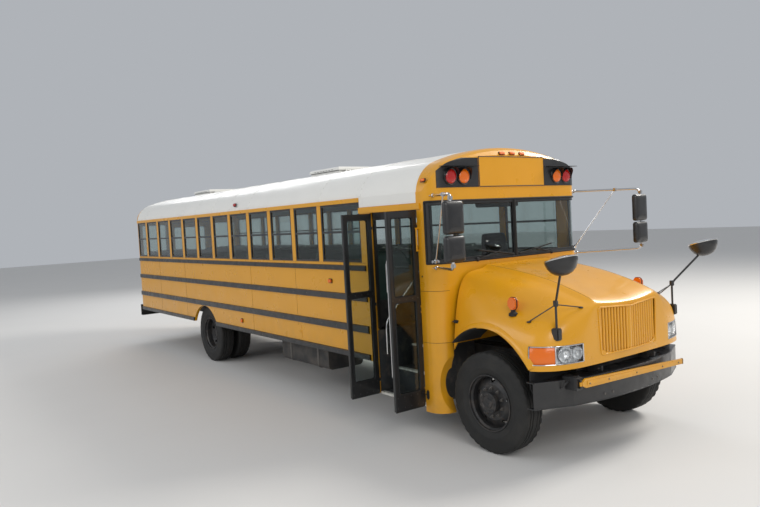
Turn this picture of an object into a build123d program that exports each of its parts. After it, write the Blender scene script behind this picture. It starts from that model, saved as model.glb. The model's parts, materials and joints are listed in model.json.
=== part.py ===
from build123d import *
import math
import os

# School bus: yellow body on a ladder chassis, tilting hood, twin rear wheels.
# Frame: +X forward, +Y to the bus's left, +Z up, origin on the ground under the middle.

# Driving dimensions in mm, along the bus
AX = 4850
WHEELBASE = 7010
FACE_BACK = 602
FACE_BOW = 27
PILLAR = 143
JAMB = 123
DOORWAY = 867
DOOR_POST = 211
WIDE_BAY = 894
WINDOWS = 10
PITCH = 711
POST = 90
REAR_BAY = 685
REAR_CORNER = 110
NOSE_CORNER = 200
HOOD_NOSE = 850
HATCH_FRONT = 4050
HATCH_REAR = 8890
TANK_BACK = 3000
TANK_L = 1300
BATTERY_BACK = 2600
BATTERY_L = 700
MUFFLER_BACK = 4200
MUFFLER_L = 1000

# Driving dimensions across the bus
HALF = 1219
WALL = 50
SKIN = 40
AISLE = 380
TYRE_INSET = 74
DUAL_GAP = 74
KINGPIN_IN = 178
RAIL_OUT = 430
RAIL_W = 76
RAIL_T = 9

# Driving dimensions in height, stacked from the axle upwards
TYRE_R = 508
TYRE_W = 254
RIM_R = 286
SPRING_H = 152
RAIL_H = 250
BOW_H = 110
FLOOR_T = 60
SKIRT_H = 380
STEP_DROP = 750
SILL_H = 808
WINDOW_H = 731
EAVE_H = 31
ROOF_RISE = 500
ARCH_GAP = 164
ARCH_UP = 82

# Small driving dimensions and clearances
PANE = 6
GLASS_IN = 14
SASH = 28
RUN = 0.05
GAP = 5
PIN_R = 6
SPINDLE_R = 40
NOSE_IN = 732
LAMP_OUT = 514
SPRING_IN = 55
SPRING_W = 76
HOOD_T = 25
BAR_OUT = 22

# Places that follow from them
REAR_AX = AX - WHEELBASE
NOSE_FACE = AX - FACE_BACK
NOSE_MID = NOSE_FACE + FACE_BOW
NOSE_SIDE = NOSE_FACE - PILLAR
JAMB_F = NOSE_SIDE - JAMB
JAMB_R = JAMB_F - DOORWAY
WIDE_END = JAMB_R - DOOR_POST
POST_11 = WIDE_END - WIDE_BAY - POST / 2
REAR_X = POST_11 - WINDOWS * PITCH - REAR_BAY
REAR_SIDE = REAR_X + REAR_CORNER
NOSE_ARC = NOSE_FACE - NOSE_CORNER
RAIL_LOW = TYRE_R + SPRING_H
RAIL_TOP = RAIL_LOW + RAIL_H
FLOOR_Z = RAIL_TOP + BOW_H + FLOOR_T
UNDER_Z = FLOOR_Z - FLOOR_T
SKIRT_Z = FLOOR_Z - SKIRT_H
STEP_Z = FLOOR_Z - STEP_DROP
SILL_Z = FLOOR_Z + SILL_H
HEAD_Z = SILL_Z + WINDOW_H
EAVE_Z = HEAD_Z + EAVE_H
RAIN_Z = EAVE_Z + 20
CAP_Z = EAVE_Z - 90
DOOR_TOP = EAVE_Z - 170
ROOF_Z = EAVE_Z + ROOF_RISE
LAMP_Z = (CAP_Z + ROOF_Z) / 2 - 40
INNER = HALF - WALL
ARCH_R = TYRE_R + ARCH_GAP
ARCH_Z = TYRE_R + ARCH_UP
TRACK_F = HALF - TYRE_INSET - TYRE_W / 2
KINGPIN = TRACK_F - KINGPIN_IN
DUAL_OUT = TRACK_F
DUAL_IN = DUAL_OUT - TYRE_W - DUAL_GAP

os.makedirs("parts", exist_ok=True)


def box(x0, x1, y0, y1, z0, z1):
    return Pos((x0 + x1) / 2, (y0 + y1) / 2, (z0 + z1) / 2) * Box(x1 - x0, y1 - y0, z1 - z0)


def both(shape):
    return shape + mirror(shape, about=Plane.XZ)


def twins(shape):
    return [shape, mirror(shape, about=Plane.XZ)]


def rod(p, q, r):
    v = Vector(*q) - Vector(*p)
    return Solid.make_cylinder(r, v.length, Plane(origin=p, z_dir=v))


def along_y(x, z, r, y0, y1):
    return Solid.make_cylinder(r, y1 - y0, Plane(origin=(x, y0, z), z_dir=(0, 1, 0)))


def along_z(x, y, r, z0, z1):
    return Solid.make_cylinder(r, z1 - z0, Plane(origin=(x, y, z0), z_dir=(0, 0, 1)))


def prism_x(pts, x0, x1):
    wire = Polyline(*[(0, y, z) for y, z in pts], close=True)
    return Pos(x0, 0, 0) * extrude(make_face(wire), amount=x1 - x0, dir=(1, 0, 0))


def prism_y(pts, y0, y1):
    wire = Polyline(*[(x, 0, z) for x, z in pts], close=True)
    return Pos(0, y0, 0) * extrude(make_face(wire), amount=y1 - y0, dir=(0, 1, 0))


def turned(pts):
    # a ring turned round the Y axis from (radius, y) points
    return revolve(make_face(Polyline(*pts, close=True)), Axis.Y)


def corner_plan(back, face, bow, half, r, z0, z1):
    # plan with two rounded corners and a face that may bow outwards
    d = math.copysign(1, face - back)
    turn = face - d * r
    side = half - r
    p = r * math.sqrt(0.5)
    edges = Line((back, -half), (turn, -half))
    edges += ThreePointArc((turn, -half), (turn + d * p, -side - p), (face, -side))
    if bow == 0:
        edges += Line((face, -side), (face, side))
    else:
        edges += ThreePointArc((face, -side), (face + d * bow, 0), (face, side))
    edges += ThreePointArc((face, side), (turn + d * p, side + p), (turn, half))
    edges += Line((turn, half), (back, half))
    edges += Line((back, half), (back, -half))
    return Pos(0, 0, z0) * extrude(make_face(edges), amount=z1 - z0, dir=(0, 0, 1))


def nose(inset, z0, z1):
    return corner_plan(JAMB_F, NOSE_FACE - inset, FACE_BOW, HALF - inset, NOSE_CORNER - inset, z0, z1)


def tail(inset, z0, z1):
    return corner_plan(REAR_SIDE + 20, REAR_X + inset, 0, HALF - inset, REAR_CORNER - inset, z0, z1)


def slab(x0, x1):
    # everything between two places along the bus
    return box(x0, x1, -2 * HALF, 2 * HALF, 0, 2 * ROOF_Z)


def roof_wire(x, inset, drop, low):
    # cross-section of the roof: tight shoulders and a shallow crown
    s = HALF - inset
    top = ROOF_Z - inset - drop
    k = top - EAVE_Z
    mid = (s - 89, EAVE_Z + 0.436 * k)
    crown = (s - 269, EAVE_Z + 0.69 * k)
    edges = [Line((x, -s, low), (x, -s, EAVE_Z))]
    edges.append(ThreePointArc((x, -s, EAVE_Z), (x, -mid[0], mid[1]), (x, -crown[0], crown[1])))
    edges.append(ThreePointArc((x, -crown[0], crown[1]), (x, 0, top), (x, crown[0], crown[1])))
    edges.append(ThreePointArc((x, crown[0], crown[1]), (x, mid[0], mid[1]), (x, s, EAVE_Z)))
    edges.append(Line((x, s, EAVE_Z), (x, s, low)))
    edges.append(Line((x, s, low), (x, -s, low)))
    return Wire([e.edge() for e in edges])


def roof_body(inset, x0, x1, low):
    return Solid.make_loft([roof_wire(x0, inset, 0, low), roof_wire(x1, inset, 0, low)], ruled=True)


def dome(inset, back, face, low):
    # end of the roof, rounded down towards the face
    d = math.copysign(1, face - back)
    face -= d * inset
    rows = [(back, 0), (face - d * 150, 0), (face - d * 70, 14), (face - d * 25, 42), (face, 100)]
    return Solid.make_loft([roof_wire(x, inset, drop, low) for x, drop in rows], ruled=True)


def hinge(x, y, z, way):
    # one hinge: a pin between two lugs, and the sleeve that turns on it
    c = Vector(*way)
    o = Vector(x, y, z)
    fixed = Solid.make_cylinder(PIN_R, 80, Plane(origin=o - c * 40, z_dir=c))
    for d in (-40, 24):
        fixed += Solid.make_cylinder(2 * PIN_R, 16, Plane(origin=o + c * d, z_dir=c))
    start = Plane(origin=o - c * 18, z_dir=c)
    sleeve = Solid.make_cylinder(2 * PIN_R, 36, start) - Solid.make_cylinder(PIN_R + RUN, 36, start)
    return fixed, sleeve


nodes = {}

# Chassis frame: two channel rails and crossmembers, with floor bows on top
RAIL_END = AX + HOOD_NOSE - 65
rail = box(REAR_X + 60, RAIL_END, RAIL_OUT - RAIL_W, RAIL_OUT, RAIL_LOW, RAIL_TOP)
rail -= box(REAR_X + 50, RAIL_END + 10, RAIL_OUT - RAIL_W - 4, RAIL_OUT - RAIL_T, RAIL_LOW + RAIL_T, RAIL_TOP - RAIL_T)
frame = twins(rail)
bows = []
x = REAR_AX - 1290
while x > REAR_X + 150:
    bows.append(x)
    x -= 1100
x = REAR_AX + 1310
while x < AX - 1200:
    bows.append(x)
    x += 1100
for x in bows:
    frame.append(box(x - 35, x + 35, -INNER, INNER, RAIL_TOP, UNDER_Z))
    if min(bows) < x < max(bows):
        frame.append(box(x - 30, x + 30, RAIL_T - RAIL_OUT, RAIL_OUT - RAIL_T, RAIL_TOP - 100, RAIL_TOP - RAIL_T))
frame.append(box(AX + 610, AX + 670, RAIL_T - RAIL_OUT, RAIL_OUT - RAIL_T, RAIL_TOP - 100, RAIL_TOP - RAIL_T))
doorway = box(JAMB_R - GAP, JAMB_F + GAP, -HALF, -RAIL_OUT - 15, STEP_Z, FLOOR_Z)
frame = [piece - doorway for piece in frame]
PIVOT_X = AX + HOOD_NOSE - 20
PIVOT_Z = RAIL_TOP - 48
ears = [(-140, 30 - RAIL_H + 48), (-140, 38), (-30, 38), (20, 23), (20, -22), (-40, -22), (-90, 30 - RAIL_H + 48)]
ears = prism_y([(PIVOT_X + x, PIVOT_Z + z) for x, z in ears], RAIL_OUT, RAIL_OUT + 25)
ears += along_y(PIVOT_X, PIVOT_Z, 10, RAIL_OUT, RAIL_OUT + 62)
frame += twins(ears)
nodes["chassis_frame"] = Compound(children=[s for piece in frame for s in piece.solids()])

# Engine as one block, with the radiator ahead of it
engine = box(AX - 440, AX + 470, -300, 300, RAIL_TOP - 150, RAIL_TOP + 490)
engine += box(AX - 535, AX - 440, -180, 180, RAIL_TOP - 210, RAIL_TOP + 290)
engine += both(box(AX - 60, AX + 60, 300, RAIL_OUT - RAIL_T, RAIL_TOP - 110, RAIL_TOP - 30))
nodes["engine_block"] = engine
nodes["radiator"] = box(AX + 600, AX + 690, -370, 370, RAIL_TOP, RAIL_TOP + 470)

# Front axle beam with kingpins
BEAM_TOP = TYRE_R + 32
beam = box(AX - 45, AX + 45, -KINGPIN, KINGPIN, BEAM_TOP - 90, BEAM_TOP)
pin = along_z(AX, KINGPIN, 45, BEAM_TOP - 100, BEAM_TOP + 20)
pin += along_z(AX, KINGPIN, 20, BEAM_TOP - 156, BEAM_TOP + 84)
nodes["front_axle"] = beam + both(pin)

# Rear axle housing with its differential
housing = along_y(REAR_AX, TYRE_R, 58, 43 - DUAL_IN + TYRE_W / 2, DUAL_IN - TYRE_W / 2 - 43)
housing += Pos(REAR_AX, 0, TYRE_R) * Sphere(180)
housing += along_y(REAR_AX, TYRE_R, 34, 20 - DUAL_OUT, DUAL_OUT - 20)
nodes["rear_axle"] = housing

# Leaf springs on hangers
springs = []
REAR_SPRING = DUAL_IN - TYRE_W / 2 - SPRING_IN
for x, y in ((AX, RAIL_OUT), (REAR_AX, REAR_SPRING)):
    y0 = y - SPRING_W
    leaf = box(x - 640, x + 640, y0, y, BEAM_TOP + 35, BEAM_TOP + 60)
    leaf += box(x - 380, x + 380, y0, y, BEAM_TOP + 15, BEAM_TOP + 35)
    leaf += box(x - 70, x + 70, y0, y, BEAM_TOP, BEAM_TOP + 35)
    for x0 in (x - 640, x + 560):
        leaf += box(x0, x0 + 80, min(y0, RAIL_OUT - 40), y, BEAM_TOP + 60, RAIL_LOW)
    springs += twins(leaf - housing)
nodes["springs"] = Compound(children=[s for leaf in springs for s in leaf.solids()])
shaft = rod((AX - 540, 0, RAIL_TOP - 130), (REAR_AX + 175, 0, TYRE_R + 20), 45)
nodes["drive_shaft"] = shaft - housing - engine

# Fuel tank, battery box and exhaust
TANK_X = AX - TANK_BACK - TANK_L
tank = box(TANK_X, TANK_X + TANK_L, 99 - HALF, -RAIL_OUT - 130, SKIRT_Z - 300, SKIRT_Z + 180)
tank = fillet(tank.edges().filter_by(Axis.X), 60)
for k in (0.25, 0.75):
    x = TANK_X + k * TANK_L
    tank += box(x - 30, x + 30, -RAIL_OUT - 130, -RAIL_OUT, RAIL_LOW + 40, RAIL_TOP - 50)
nodes["fuel_tank"] = tank
BATTERY_X = AX - BATTERY_BACK
nodes["battery_box"] = box(BATTERY_X - BATTERY_L, BATTERY_X, RAIL_OUT, INNER - 169, RAIL_LOW - 100, RAIL_TOP - 10)
PIPE_Z = RAIL_TOP - 170
pipe_route = [(AX - 440, PIPE_Z + 40), (AX - 900, PIPE_Z), (REAR_X + 400, PIPE_Z), (REAR_X + 200, PIPE_Z - 100), (REAR_X + 60, PIPE_Z - 100)]
MUFFLER_X = AX - MUFFLER_BACK
pipe = rod((MUFFLER_X - MUFFLER_L, 250, PIPE_Z), (MUFFLER_X, 250, PIPE_Z), 62)
for (x0, z0), (x1, z1) in zip(pipe_route, pipe_route[1:]):
    pipe += rod((x0 + 10, 250, z0), (x1 - 10, 250, z1), 50)
nodes["exhaust_pipe"] = pipe - engine

# Floor with the doorway and the wheel boxes
floor = box(REAR_X + WALL, JAMB_F, -INNER, INNER, UNDER_Z, FLOOR_Z)
floor += nose(WALL, UNDER_Z, FLOOR_Z)
floor &= tail(WALL, UNDER_Z, FLOOR_Z) + slab(REAR_SIDE, AX)
STEP_IN = 450
floor -= box(JAMB_R, JAMB_F, -HALF, -STEP_IN, UNDER_Z - 10, FLOOR_Z + 10)
BOX_IN = DUAL_IN - TYRE_W / 2 - 25
BOX_X = TYRE_R + 92
hollow = box(REAR_AX - BOX_X, REAR_AX + BOX_X, BOX_IN, HALF, UNDER_Z - 10, FLOOR_Z + 10)
floor -= both(hollow)
boxes = box(REAR_AX - BOX_X, REAR_AX + BOX_X, BOX_IN, INNER, UNDER_Z, FLOOR_Z + 90)
boxes -= box(REAR_AX - BOX_X + 10, REAR_AX + BOX_X - 10, BOX_IN + 10, HALF, UNDER_Z - 1, FLOOR_Z + 80)
nodes["floor"] = floor + both(boxes)

# Entrance steps: treads and risers between two side plates
rise = STEP_DROP / 3
SHEET = 8
treads = [(29 - HALF, -930), (-930, -690), (-690, -STEP_IN)]
well = [box(JAMB_R, JAMB_R + SHEET, 29 - HALF, -STEP_IN, STEP_Z, FLOOR_Z)]
well.append(box(JAMB_F - SHEET, JAMB_F, 29 - HALF, -STEP_IN, STEP_Z, FLOOR_Z))
for i, (y0, y1) in enumerate(treads):
    top = STEP_Z + i * rise + 14
    well.append(box(JAMB_R + SHEET, JAMB_F - SHEET, y0, y1 - SHEET, top - 14, top))
    well.append(box(JAMB_R + SHEET, JAMB_F - SHEET, y1 - SHEET, y1, top - 14, min(top + rise - 14, FLOOR_Z)))
nodes["step_well"] = Compound(children=well)

# Side walls with the window openings cut through
windows_r = [(REAR_SIDE, POST_11 - WINDOWS * PITCH - POST / 2)]
for i in range(WINDOWS, 0, -1):
    windows_r.append((POST_11 - i * PITCH + POST / 2, POST_11 - (i - 1) * PITCH - POST / 2))
windows_l = list(windows_r)
windows_r.append((POST_11 + POST / 2, WIDE_END))
LAST_BAY = (JAMB_F - 60 - POST_11 - 1.5 * POST) / 2
windows_l.append((POST_11 + POST / 2, POST_11 + POST / 2 + LAST_BAY))
windows_l.append((JAMB_F - 60 - LAST_BAY, JAMB_F - 60))
wall = box(REAR_SIDE, NOSE_ARC, -HALF, -INNER, SKIRT_Z, RAIN_Z)
wall += (nose(0, SKIRT_Z, RAIN_Z) - nose(WALL, SKIRT_Z - 1, RAIN_Z + 1)) & box(NOSE_ARC, NOSE_SIDE, -HALF, 0, 0, ROOF_Z)
wall -= along_y(REAR_AX, TYRE_R - 84, BOX_X, -HALF - 5, GAP - INNER)
wall_l = mirror(wall, about=Plane.XZ)
FRONT_LOW = STEP_Z - 55
wall_r = wall - box(JAMB_R, JAMB_F, -HALF - 5, 5 - INNER, SKIRT_Z - 5, DOOR_TOP)
wall_r += box(JAMB_R - 40, JAMB_R, -HALF, -INNER, STEP_Z, SKIRT_Z)
low = box(JAMB_F, NOSE_ARC, -HALF, -INNER, FRONT_LOW, SKIRT_Z)
low += (nose(0, FRONT_LOW, SKIRT_Z) - nose(WALL, FRONT_LOW - 1, SKIRT_Z + 1)) & box(NOSE_ARC, NOSE_SIDE, -HALF, 0, 0, ROOF_Z)
wall_r += low
sashes = []
glass = []
for s, openings in ((-1, windows_r), (1, windows_l)):
    for x0, x1 in openings:
        y0, y1 = sorted((s * (HALF + 5), s * (INNER - 5)))
        cut = box(x0, x1, y0, y1, SILL_Z, HEAD_Z)
        if s < 0:
            wall_r -= cut
        else:
            wall_l -= cut
        y0, y1 = sorted((s * (HALF - 4), s * (HALF - GLASS_IN - PANE - 6)))
        mid = (SILL_Z + HEAD_Z) / 2 + 12
        sash = box(x0, x1, y0, y1, SILL_Z, HEAD_Z)
        sash -= box(x0 + SASH, x1 - SASH, y0 - 1, y1 + 1, SILL_Z + SASH, mid - SASH / 2)
        sash -= box(x0 + SASH, x1 - SASH, y0 - 1, y1 + 1, mid + SASH / 2, HEAD_Z - SASH)
        sashes.append(sash)
        y0, y1 = sorted((s * (HALF - GLASS_IN), s * (HALF - GLASS_IN - PANE)))
        glass.append(box(x0 + SASH, x1 - SASH, y0, y1, SILL_Z + SASH, mid - SASH / 2))
        glass.append(box(x0 + SASH, x1 - SASH, y0, y1, mid + SASH / 2, HEAD_Z - SASH))
HANDLE_X = JAMB_F + 15
grab = rod((HANDLE_X, -HALF - 30, SILL_Z + 150), (HANDLE_X, -HALF - 30, SILL_Z + 390), 9)
for z in (SILL_Z + 150, SILL_Z + 390):
    grab += rod((HANDLE_X, -HALF - 38, z), (HANDLE_X, -HALF + 2, z), 9)
nodes["right_wall"] = wall_r + grab
nodes["left_wall"] = wall_l
nodes["window_sashes"] = Compound(children=sashes)

# Cowl: rounded corners and firewall under the windshield, and the low corner panels
cowl = (nose(0, UNDER_Z, SILL_Z) - nose(WALL, UNDER_Z - 1, SILL_Z + 1)) & slab(NOSE_SIDE, AX)
low = (nose(0, FRONT_LOW, UNDER_Z) - nose(WALL, FRONT_LOW - 1, UNDER_Z + 1)) & slab(NOSE_SIDE, AX)
low -= box(NOSE_SIDE - 1, AX, NOSE_CORNER - HALF, HALF - NOSE_CORNER, 0, UNDER_Z + 1)
low -= box(NOSE_SIDE - 1, AX, 0, HALF + 5, 0, SKIRT_Z - 200)
cowl += low
cowl -= along_y(AX, ARCH_Z, ARCH_R, -HALF - 5, HALF + 5)
nodes["cowl"] = cowl

# Windshield ring with a centre post, and its two curved panes
EDGE = 40
ring = (nose(4, SILL_Z, CAP_Z) - nose(4 + EDGE, SILL_Z - 1, CAP_Z + 1)) & slab(NOSE_SIDE, AX)
post = box(NOSE_FACE - 98, AX, -25, 25, SILL_Z, CAP_Z)
hole = (nose(0, SILL_Z + EDGE, CAP_Z - EDGE) & slab(NOSE_SIDE + EDGE, AX)) - post
panes = (nose(16, SILL_Z + EDGE, CAP_Z - EDGE) - nose(16 + PANE, SILL_Z, CAP_Z)) & slab(NOSE_SIDE + EDGE, AX)
nodes["windshield"] = panes - post
nodes["windshield_frame"] = ring - hole

# Front cap: rounded header that closes the roof
cap = nose(0, CAP_Z, ROOF_Z) & dome(0, JAMB_F, NOSE_MID + 1, CAP_Z - 50)
cap -= nose(WALL, CAP_Z - 1, ROOF_Z) & dome(WALL, JAMB_F, NOSE_MID + 1, CAP_Z - 60)
cap -= both(box(JAMB_F - 1, NOSE_SIDE, INNER - 20, HALF + 5, CAP_Z - 5, RAIN_Z))
nodes["front_cap"] = cap

# Lamp panels and sign panel on the cap's face, with a visor over each pair of lamps
SIGN = 549
PANEL_LOW = CAP_Z + 136
PANEL_TOP = ROOF_Z - 135
plates = nose(-6, PANEL_LOW, PANEL_TOP) - nose(0, PANEL_LOW - 1, PANEL_TOP + 1)
plates &= dome(-6, JAMB_F, NOSE_MID + 1, CAP_Z)
plates &= box(NOSE_FACE - 40, AX, 94 - HALF, HALF - 94, 0, ROOF_Z)
visor = both(box(NOSE_FACE - 40, NOSE_FACE + 90, SIGN + 40, HALF - 130, LAMP_Z + 106, LAMP_Z + 112))
plates += visor - nose(0, CAP_Z, ROOF_Z)
plates -= box(NOSE_FACE - 60, AX, -SIGN, SIGN, PANEL_LOW - 5, PANEL_TOP + 5)
sign = nose(-6, PANEL_LOW, PANEL_TOP + 20) - nose(0, PANEL_LOW - 1, ROOF_Z)
sign &= box(NOSE_FACE - 60, AX, 6 - SIGN, SIGN - 6, 0, ROOF_Z)
nodes["lamp_panels"] = plates
nodes["sign_panel"] = sign & dome(-6, JAMB_F, NOSE_MID + 1, CAP_Z)

# Roof shell with the hatch kerbs
roof = roof_body(0, REAR_SIDE, JAMB_F, CAP_Z) - roof_body(SKIN, REAR_SIDE - 1, JAMB_F + 1, CAP_Z - 10)
roof -= box(REAR_SIDE - 1, JAMB_F + 1, -HALF - 5, HALF + 5, CAP_Z - 20, RAIN_Z)
HATCH_X = 380
HATCH_Y = 330
LID_Z = ROOF_Z + 15
hatches = (("roof_hatch_front", AX - HATCH_FRONT), ("roof_hatch_rear", AX - HATCH_REAR))
for name, x in hatches:
    hole = box(x - HATCH_X, x + HATCH_X, -HATCH_Y, HATCH_Y, CAP_Z, ROOF_Z + 50)
    kerb = box(x - HATCH_X - 20, x + HATCH_X + 20, -HATCH_Y - 20, HATCH_Y + 20, ROOF_Z - 90, ROOF_Z + 8)
    roof += kerb - roof_body(SKIN, REAR_SIDE, JAMB_F, CAP_Z)
    roof -= hole
nodes["roof"] = roof

# Rear wall with rounded corners, two windows and the emergency doorway
EXIT = 475
EXIT_TOP = EAVE_Z - 60
rear = tail(0, SKIRT_Z, ROOF_Z) & dome(0, REAR_SIDE + 200, REAR_X, SKIRT_Z - 10)
rear -= tail(WALL, SKIRT_Z - 1, ROOF_Z) & dome(WALL, REAR_SIDE + 200, REAR_X, SKIRT_Z - 20)
rear &= slab(REAR_X - 1, REAR_SIDE)
rear -= box(REAR_X - 5, REAR_X + WALL + 5, -EXIT, EXIT, FLOOR_Z - 40, EXIT_TOP)
REAR_PANES = (EXIT + 85, HALF - REAR_CORNER - 9)
for y0, y1 in (REAR_PANES, (-REAR_PANES[1], -REAR_PANES[0])):
    rear -= box(REAR_X - 5, REAR_X + WALL + 5, y0, y1, SILL_Z, EXIT_TOP - 30)
    glass.append(box(REAR_X + GLASS_IN, REAR_X + GLASS_IN + PANE, y0, y1, SILL_Z, EXIT_TOP - 30))
nodes["rear_wall"] = rear
nodes["window_glass"] = Compound(children=glass)

# Rub rails along both sides: floor line, seat line, sill line and skirt
bars = []
for z0, z1 in ((SILL_Z - 103, SILL_Z - 34), (SILL_Z - 476, SILL_Z - 390), (FLOOR_Z - 53, FLOOR_Z + 41), (SKIRT_Z, SKIRT_Z + 75)):
    for s, x1 in ((-1, JAMB_R - 130), (1, JAMB_F)):
        lip = 7
        pts = [(HALF, z0), (HALF + BAR_OUT, z0 + lip), (HALF + BAR_OUT, z1 - lip), (HALF, z1)]
        bar = prism_x([(s * y, z) for y, z in pts], REAR_SIDE, x1)
        bars.append(bar - along_y(REAR_AX, TYRE_R - 84, BOX_X, -2 * HALF, 2 * HALF))
nodes["rub_rails"] = Compound(children=[s for bar in bars for s in bar.solids()])

# Drip rails over the side windows and the entrance
DRIP = 18
drips = [box(REAR_SIDE, WIDE_END, -HALF - DRIP, -HALF, HEAD_Z, RAIN_Z)]
drips.append(box(WIDE_END, NOSE_ARC, -HALF - DRIP, -HALF, DOOR_TOP + 4, DOOR_TOP + 68))
drips.append(box(REAR_SIDE, NOSE_ARC, HALF, HALF + DRIP, HEAD_Z, RAIN_Z))
nodes["drip_rails"] = Compound(children=drips)


# Front bumper: bowed channel with ends swept back
def bumper_plan(cut, back, z0, z1):
    y_end = HALF - 29 + cut
    y_bend = HALF - 397
    mid, bend, end = (AX + HOOD_NOSE + d for d in (50, -47, -210))
    edges = ThreePointArc((bend - cut, -y_bend), (mid - cut, 0), (bend - cut, y_bend))
    edges += Line((bend - cut, y_bend), (end - cut, y_end))
    edges += Line((end - cut, y_end), (end - back, y_end))
    edges += Line((end - back, y_end), (bend - back, y_bend))
    edges += ThreePointArc((bend - back, y_bend), (mid - back, 0), (bend - back, -y_bend))
    edges += Line((bend - back, -y_bend), (end - back, -y_end))
    edges += Line((end - back, -y_end), (end - cut, -y_end))
    edges += Line((end - cut, -y_end), (bend - cut, -y_bend))
    return Pos(0, 0, z0) * extrude(make_face(edges), amount=z1 - z0, dir=(0, 0, 1))


BUMPER_LOW = RAIL_LOW - 95
BUMPER_TOP = RAIL_LOW + 160
outer = bumper_plan(0, 80, BUMPER_LOW, BUMPER_TOP)
bumper = outer - bumper_plan(10, 90, BUMPER_LOW + 10, BUMPER_TOP - 10)
bumper += both(box(RAIL_END, AX + HOOD_NOSE + 10, RAIL_OUT - 70, RAIL_OUT - 10, RAIL_LOW, BUMPER_TOP - 5))
ARM_X = AX + HOOD_NOSE + 65
ARM_Y = 359 - HALF
ARM_Z = BUMPER_TOP - 25
bumper += box(ARM_X - 175, ARM_X - 14, ARM_Y - 40, ARM_Y + 40, ARM_Z - 60, ARM_Z + 60) - outer
fixed, sleeve = hinge(ARM_X, ARM_Y, ARM_Z, (0, 0, 1))
for d in (-40, 24):
    fixed += box(ARM_X - 20, ARM_X, ARM_Y - 8, ARM_Y + 8, ARM_Z + d, ARM_Z + d + 16)
nodes["front_bumper"] = bumper + fixed
TIP_Y = HALF - 379
arm = [(ARM_Y + 9, ARM_Z - 16), (ARM_Y + 60, ARM_Z - 42), (TIP_Y, ARM_Z - 92)]
arm += [(TIP_Y, ARM_Z - 39), (ARM_Y + 60, ARM_Z + 42), (ARM_Y + 9, ARM_Z + 16)]
arm = prism_x(arm, ARM_X - 6, ARM_X + 14)
nodes["crossing_arm"] = sleeve + arm

# Rear bumper: straight channel on brackets
BUMP = 110
rear_bumper = box(REAR_X - BUMP, REAR_X, 10 - HALF, HALF - 10, RAIL_LOW - 100, RAIL_LOW + 140)
rear_bumper -= box(REAR_X - BUMP + 12, REAR_X + 1, -HALF, HALF, RAIL_LOW - 88, RAIL_LOW + 128)
rear_bumper += both(box(REAR_X - BUMP + 12, REAR_X + 60, RAIL_OUT - RAIL_W, RAIL_OUT, RAIL_LOW - 60, RAIL_LOW + 30))
rear_bumper -= nodes["chassis_frame"]
nodes["rear_bumper"] = rear_bumper

# Passenger benches in rows on both sides of the aisle
seats = []
ROW_1 = JAMB_R - 604
rows = int((ROW_1 - REAR_X - 300) / PITCH) + 1
for i in range(rows):
    x = ROW_1 - i * PITCH
    z = FLOOR_Z + 320
    cushion = [(x - 20, z), (x + 390, z), (x + 410, z + 30), (x + 400, z + 92), (x + 370, z + 104), (x - 5, z + 86)]
    back = [(x - 15, z + 40), (x - 5, z + 86), (x - 44, z + 560), (x - 62, z + 590), (x - 90, z + 590), (x - 106, z + 556), (x - 68, z + 40)]
    rest = prism_y(back, AISLE / 2, INNER)
    seats += twins(rest) + twins(prism_y(cushion, AISLE / 2, INNER) - rest)
    over = abs(x + 200 - REAR_AX) < BOX_X + 250
    for dx in (60, 340):
        seats += twins(box(x + dx, x + dx + 40, AISLE / 2 + 25, AISLE / 2 + 55, FLOOR_Z, z))
        if not over:
            seats += twins(box(x + dx, x + dx + 40, INNER - 60, INNER - 30, FLOOR_Z, z))
nodes["passenger_seats"] = Compound(children=seats)

# Driver's seat on its pedestal
DRIVER_X = JAMB_F - 632
DRIVER_Y = HALF - 599
chair = box(DRIVER_X, DRIVER_X + 450, DRIVER_Y - 240, DRIVER_Y + 240, FLOOR_Z + 400, FLOOR_Z + 520)
chair = fillet(chair.edges().filter_by(Axis.Z), 60)
back = box(DRIVER_X - 60, DRIVER_X + 30, DRIVER_Y - 220, DRIVER_Y + 220, FLOOR_Z + 470, FLOOR_Z + 1070)
chair += fillet(back.edges().filter_by(Axis.X), 80)
chair += box(DRIVER_X + 100, DRIVER_X + 350, DRIVER_Y - 120, DRIVER_Y + 120, FLOOR_Z, FLOOR_Z + 401)
nodes["driver_seat"] = chair

# Dash with legs, steering column and wheel
DASH_X = NOSE_SIDE - 40
DASH_Y = HALF - NOSE_CORNER / 2
dash = prism_y([(DASH_X - 65, FLOOR_Z + 420), (DASH_X, FLOOR_Z + 420), (DASH_X, FLOOR_Z + 770), (DASH_X - 65, FLOOR_Z + 700)], -DASH_Y, DASH_Y)
for y in (-500, 440):
    dash += box(DASH_X - 15, DASH_X, y, y + 60, FLOOR_Z, FLOOR_Z + 420)
nodes["dash"] = dash
hub = (DASH_X - 175, DRIVER_Y, FLOOR_Z + 700)
tilt = Plane(origin=hub, z_dir=(-120, 0, 220))
rim = [(240, 0), (227, 13), (214, 0), (227, -13)]
wheel = tilt * Rot(90, 0, 0) * turned(rim)
wheel += tilt * Box(440, 28, 14) + tilt * Box(28, 440, 14)
wheel += rod((DASH_X - 40, DRIVER_Y, FLOOR_Z + 500), hub, 30)
nodes["steering_wheel"] = wheel - dash

# Padded barriers ahead of the first seats
barriers = box(JAMB_R - 60, JAMB_R - 20, -INNER, -AISLE / 2 - 60, FLOOR_Z, FLOOR_Z + 920)
barriers += box(DRIVER_X - 300, DRIVER_X - 260, AISLE / 2 + 60, INNER, FLOOR_Z, FLOOR_Z + 920)
nodes["barriers"] = barriers

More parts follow.
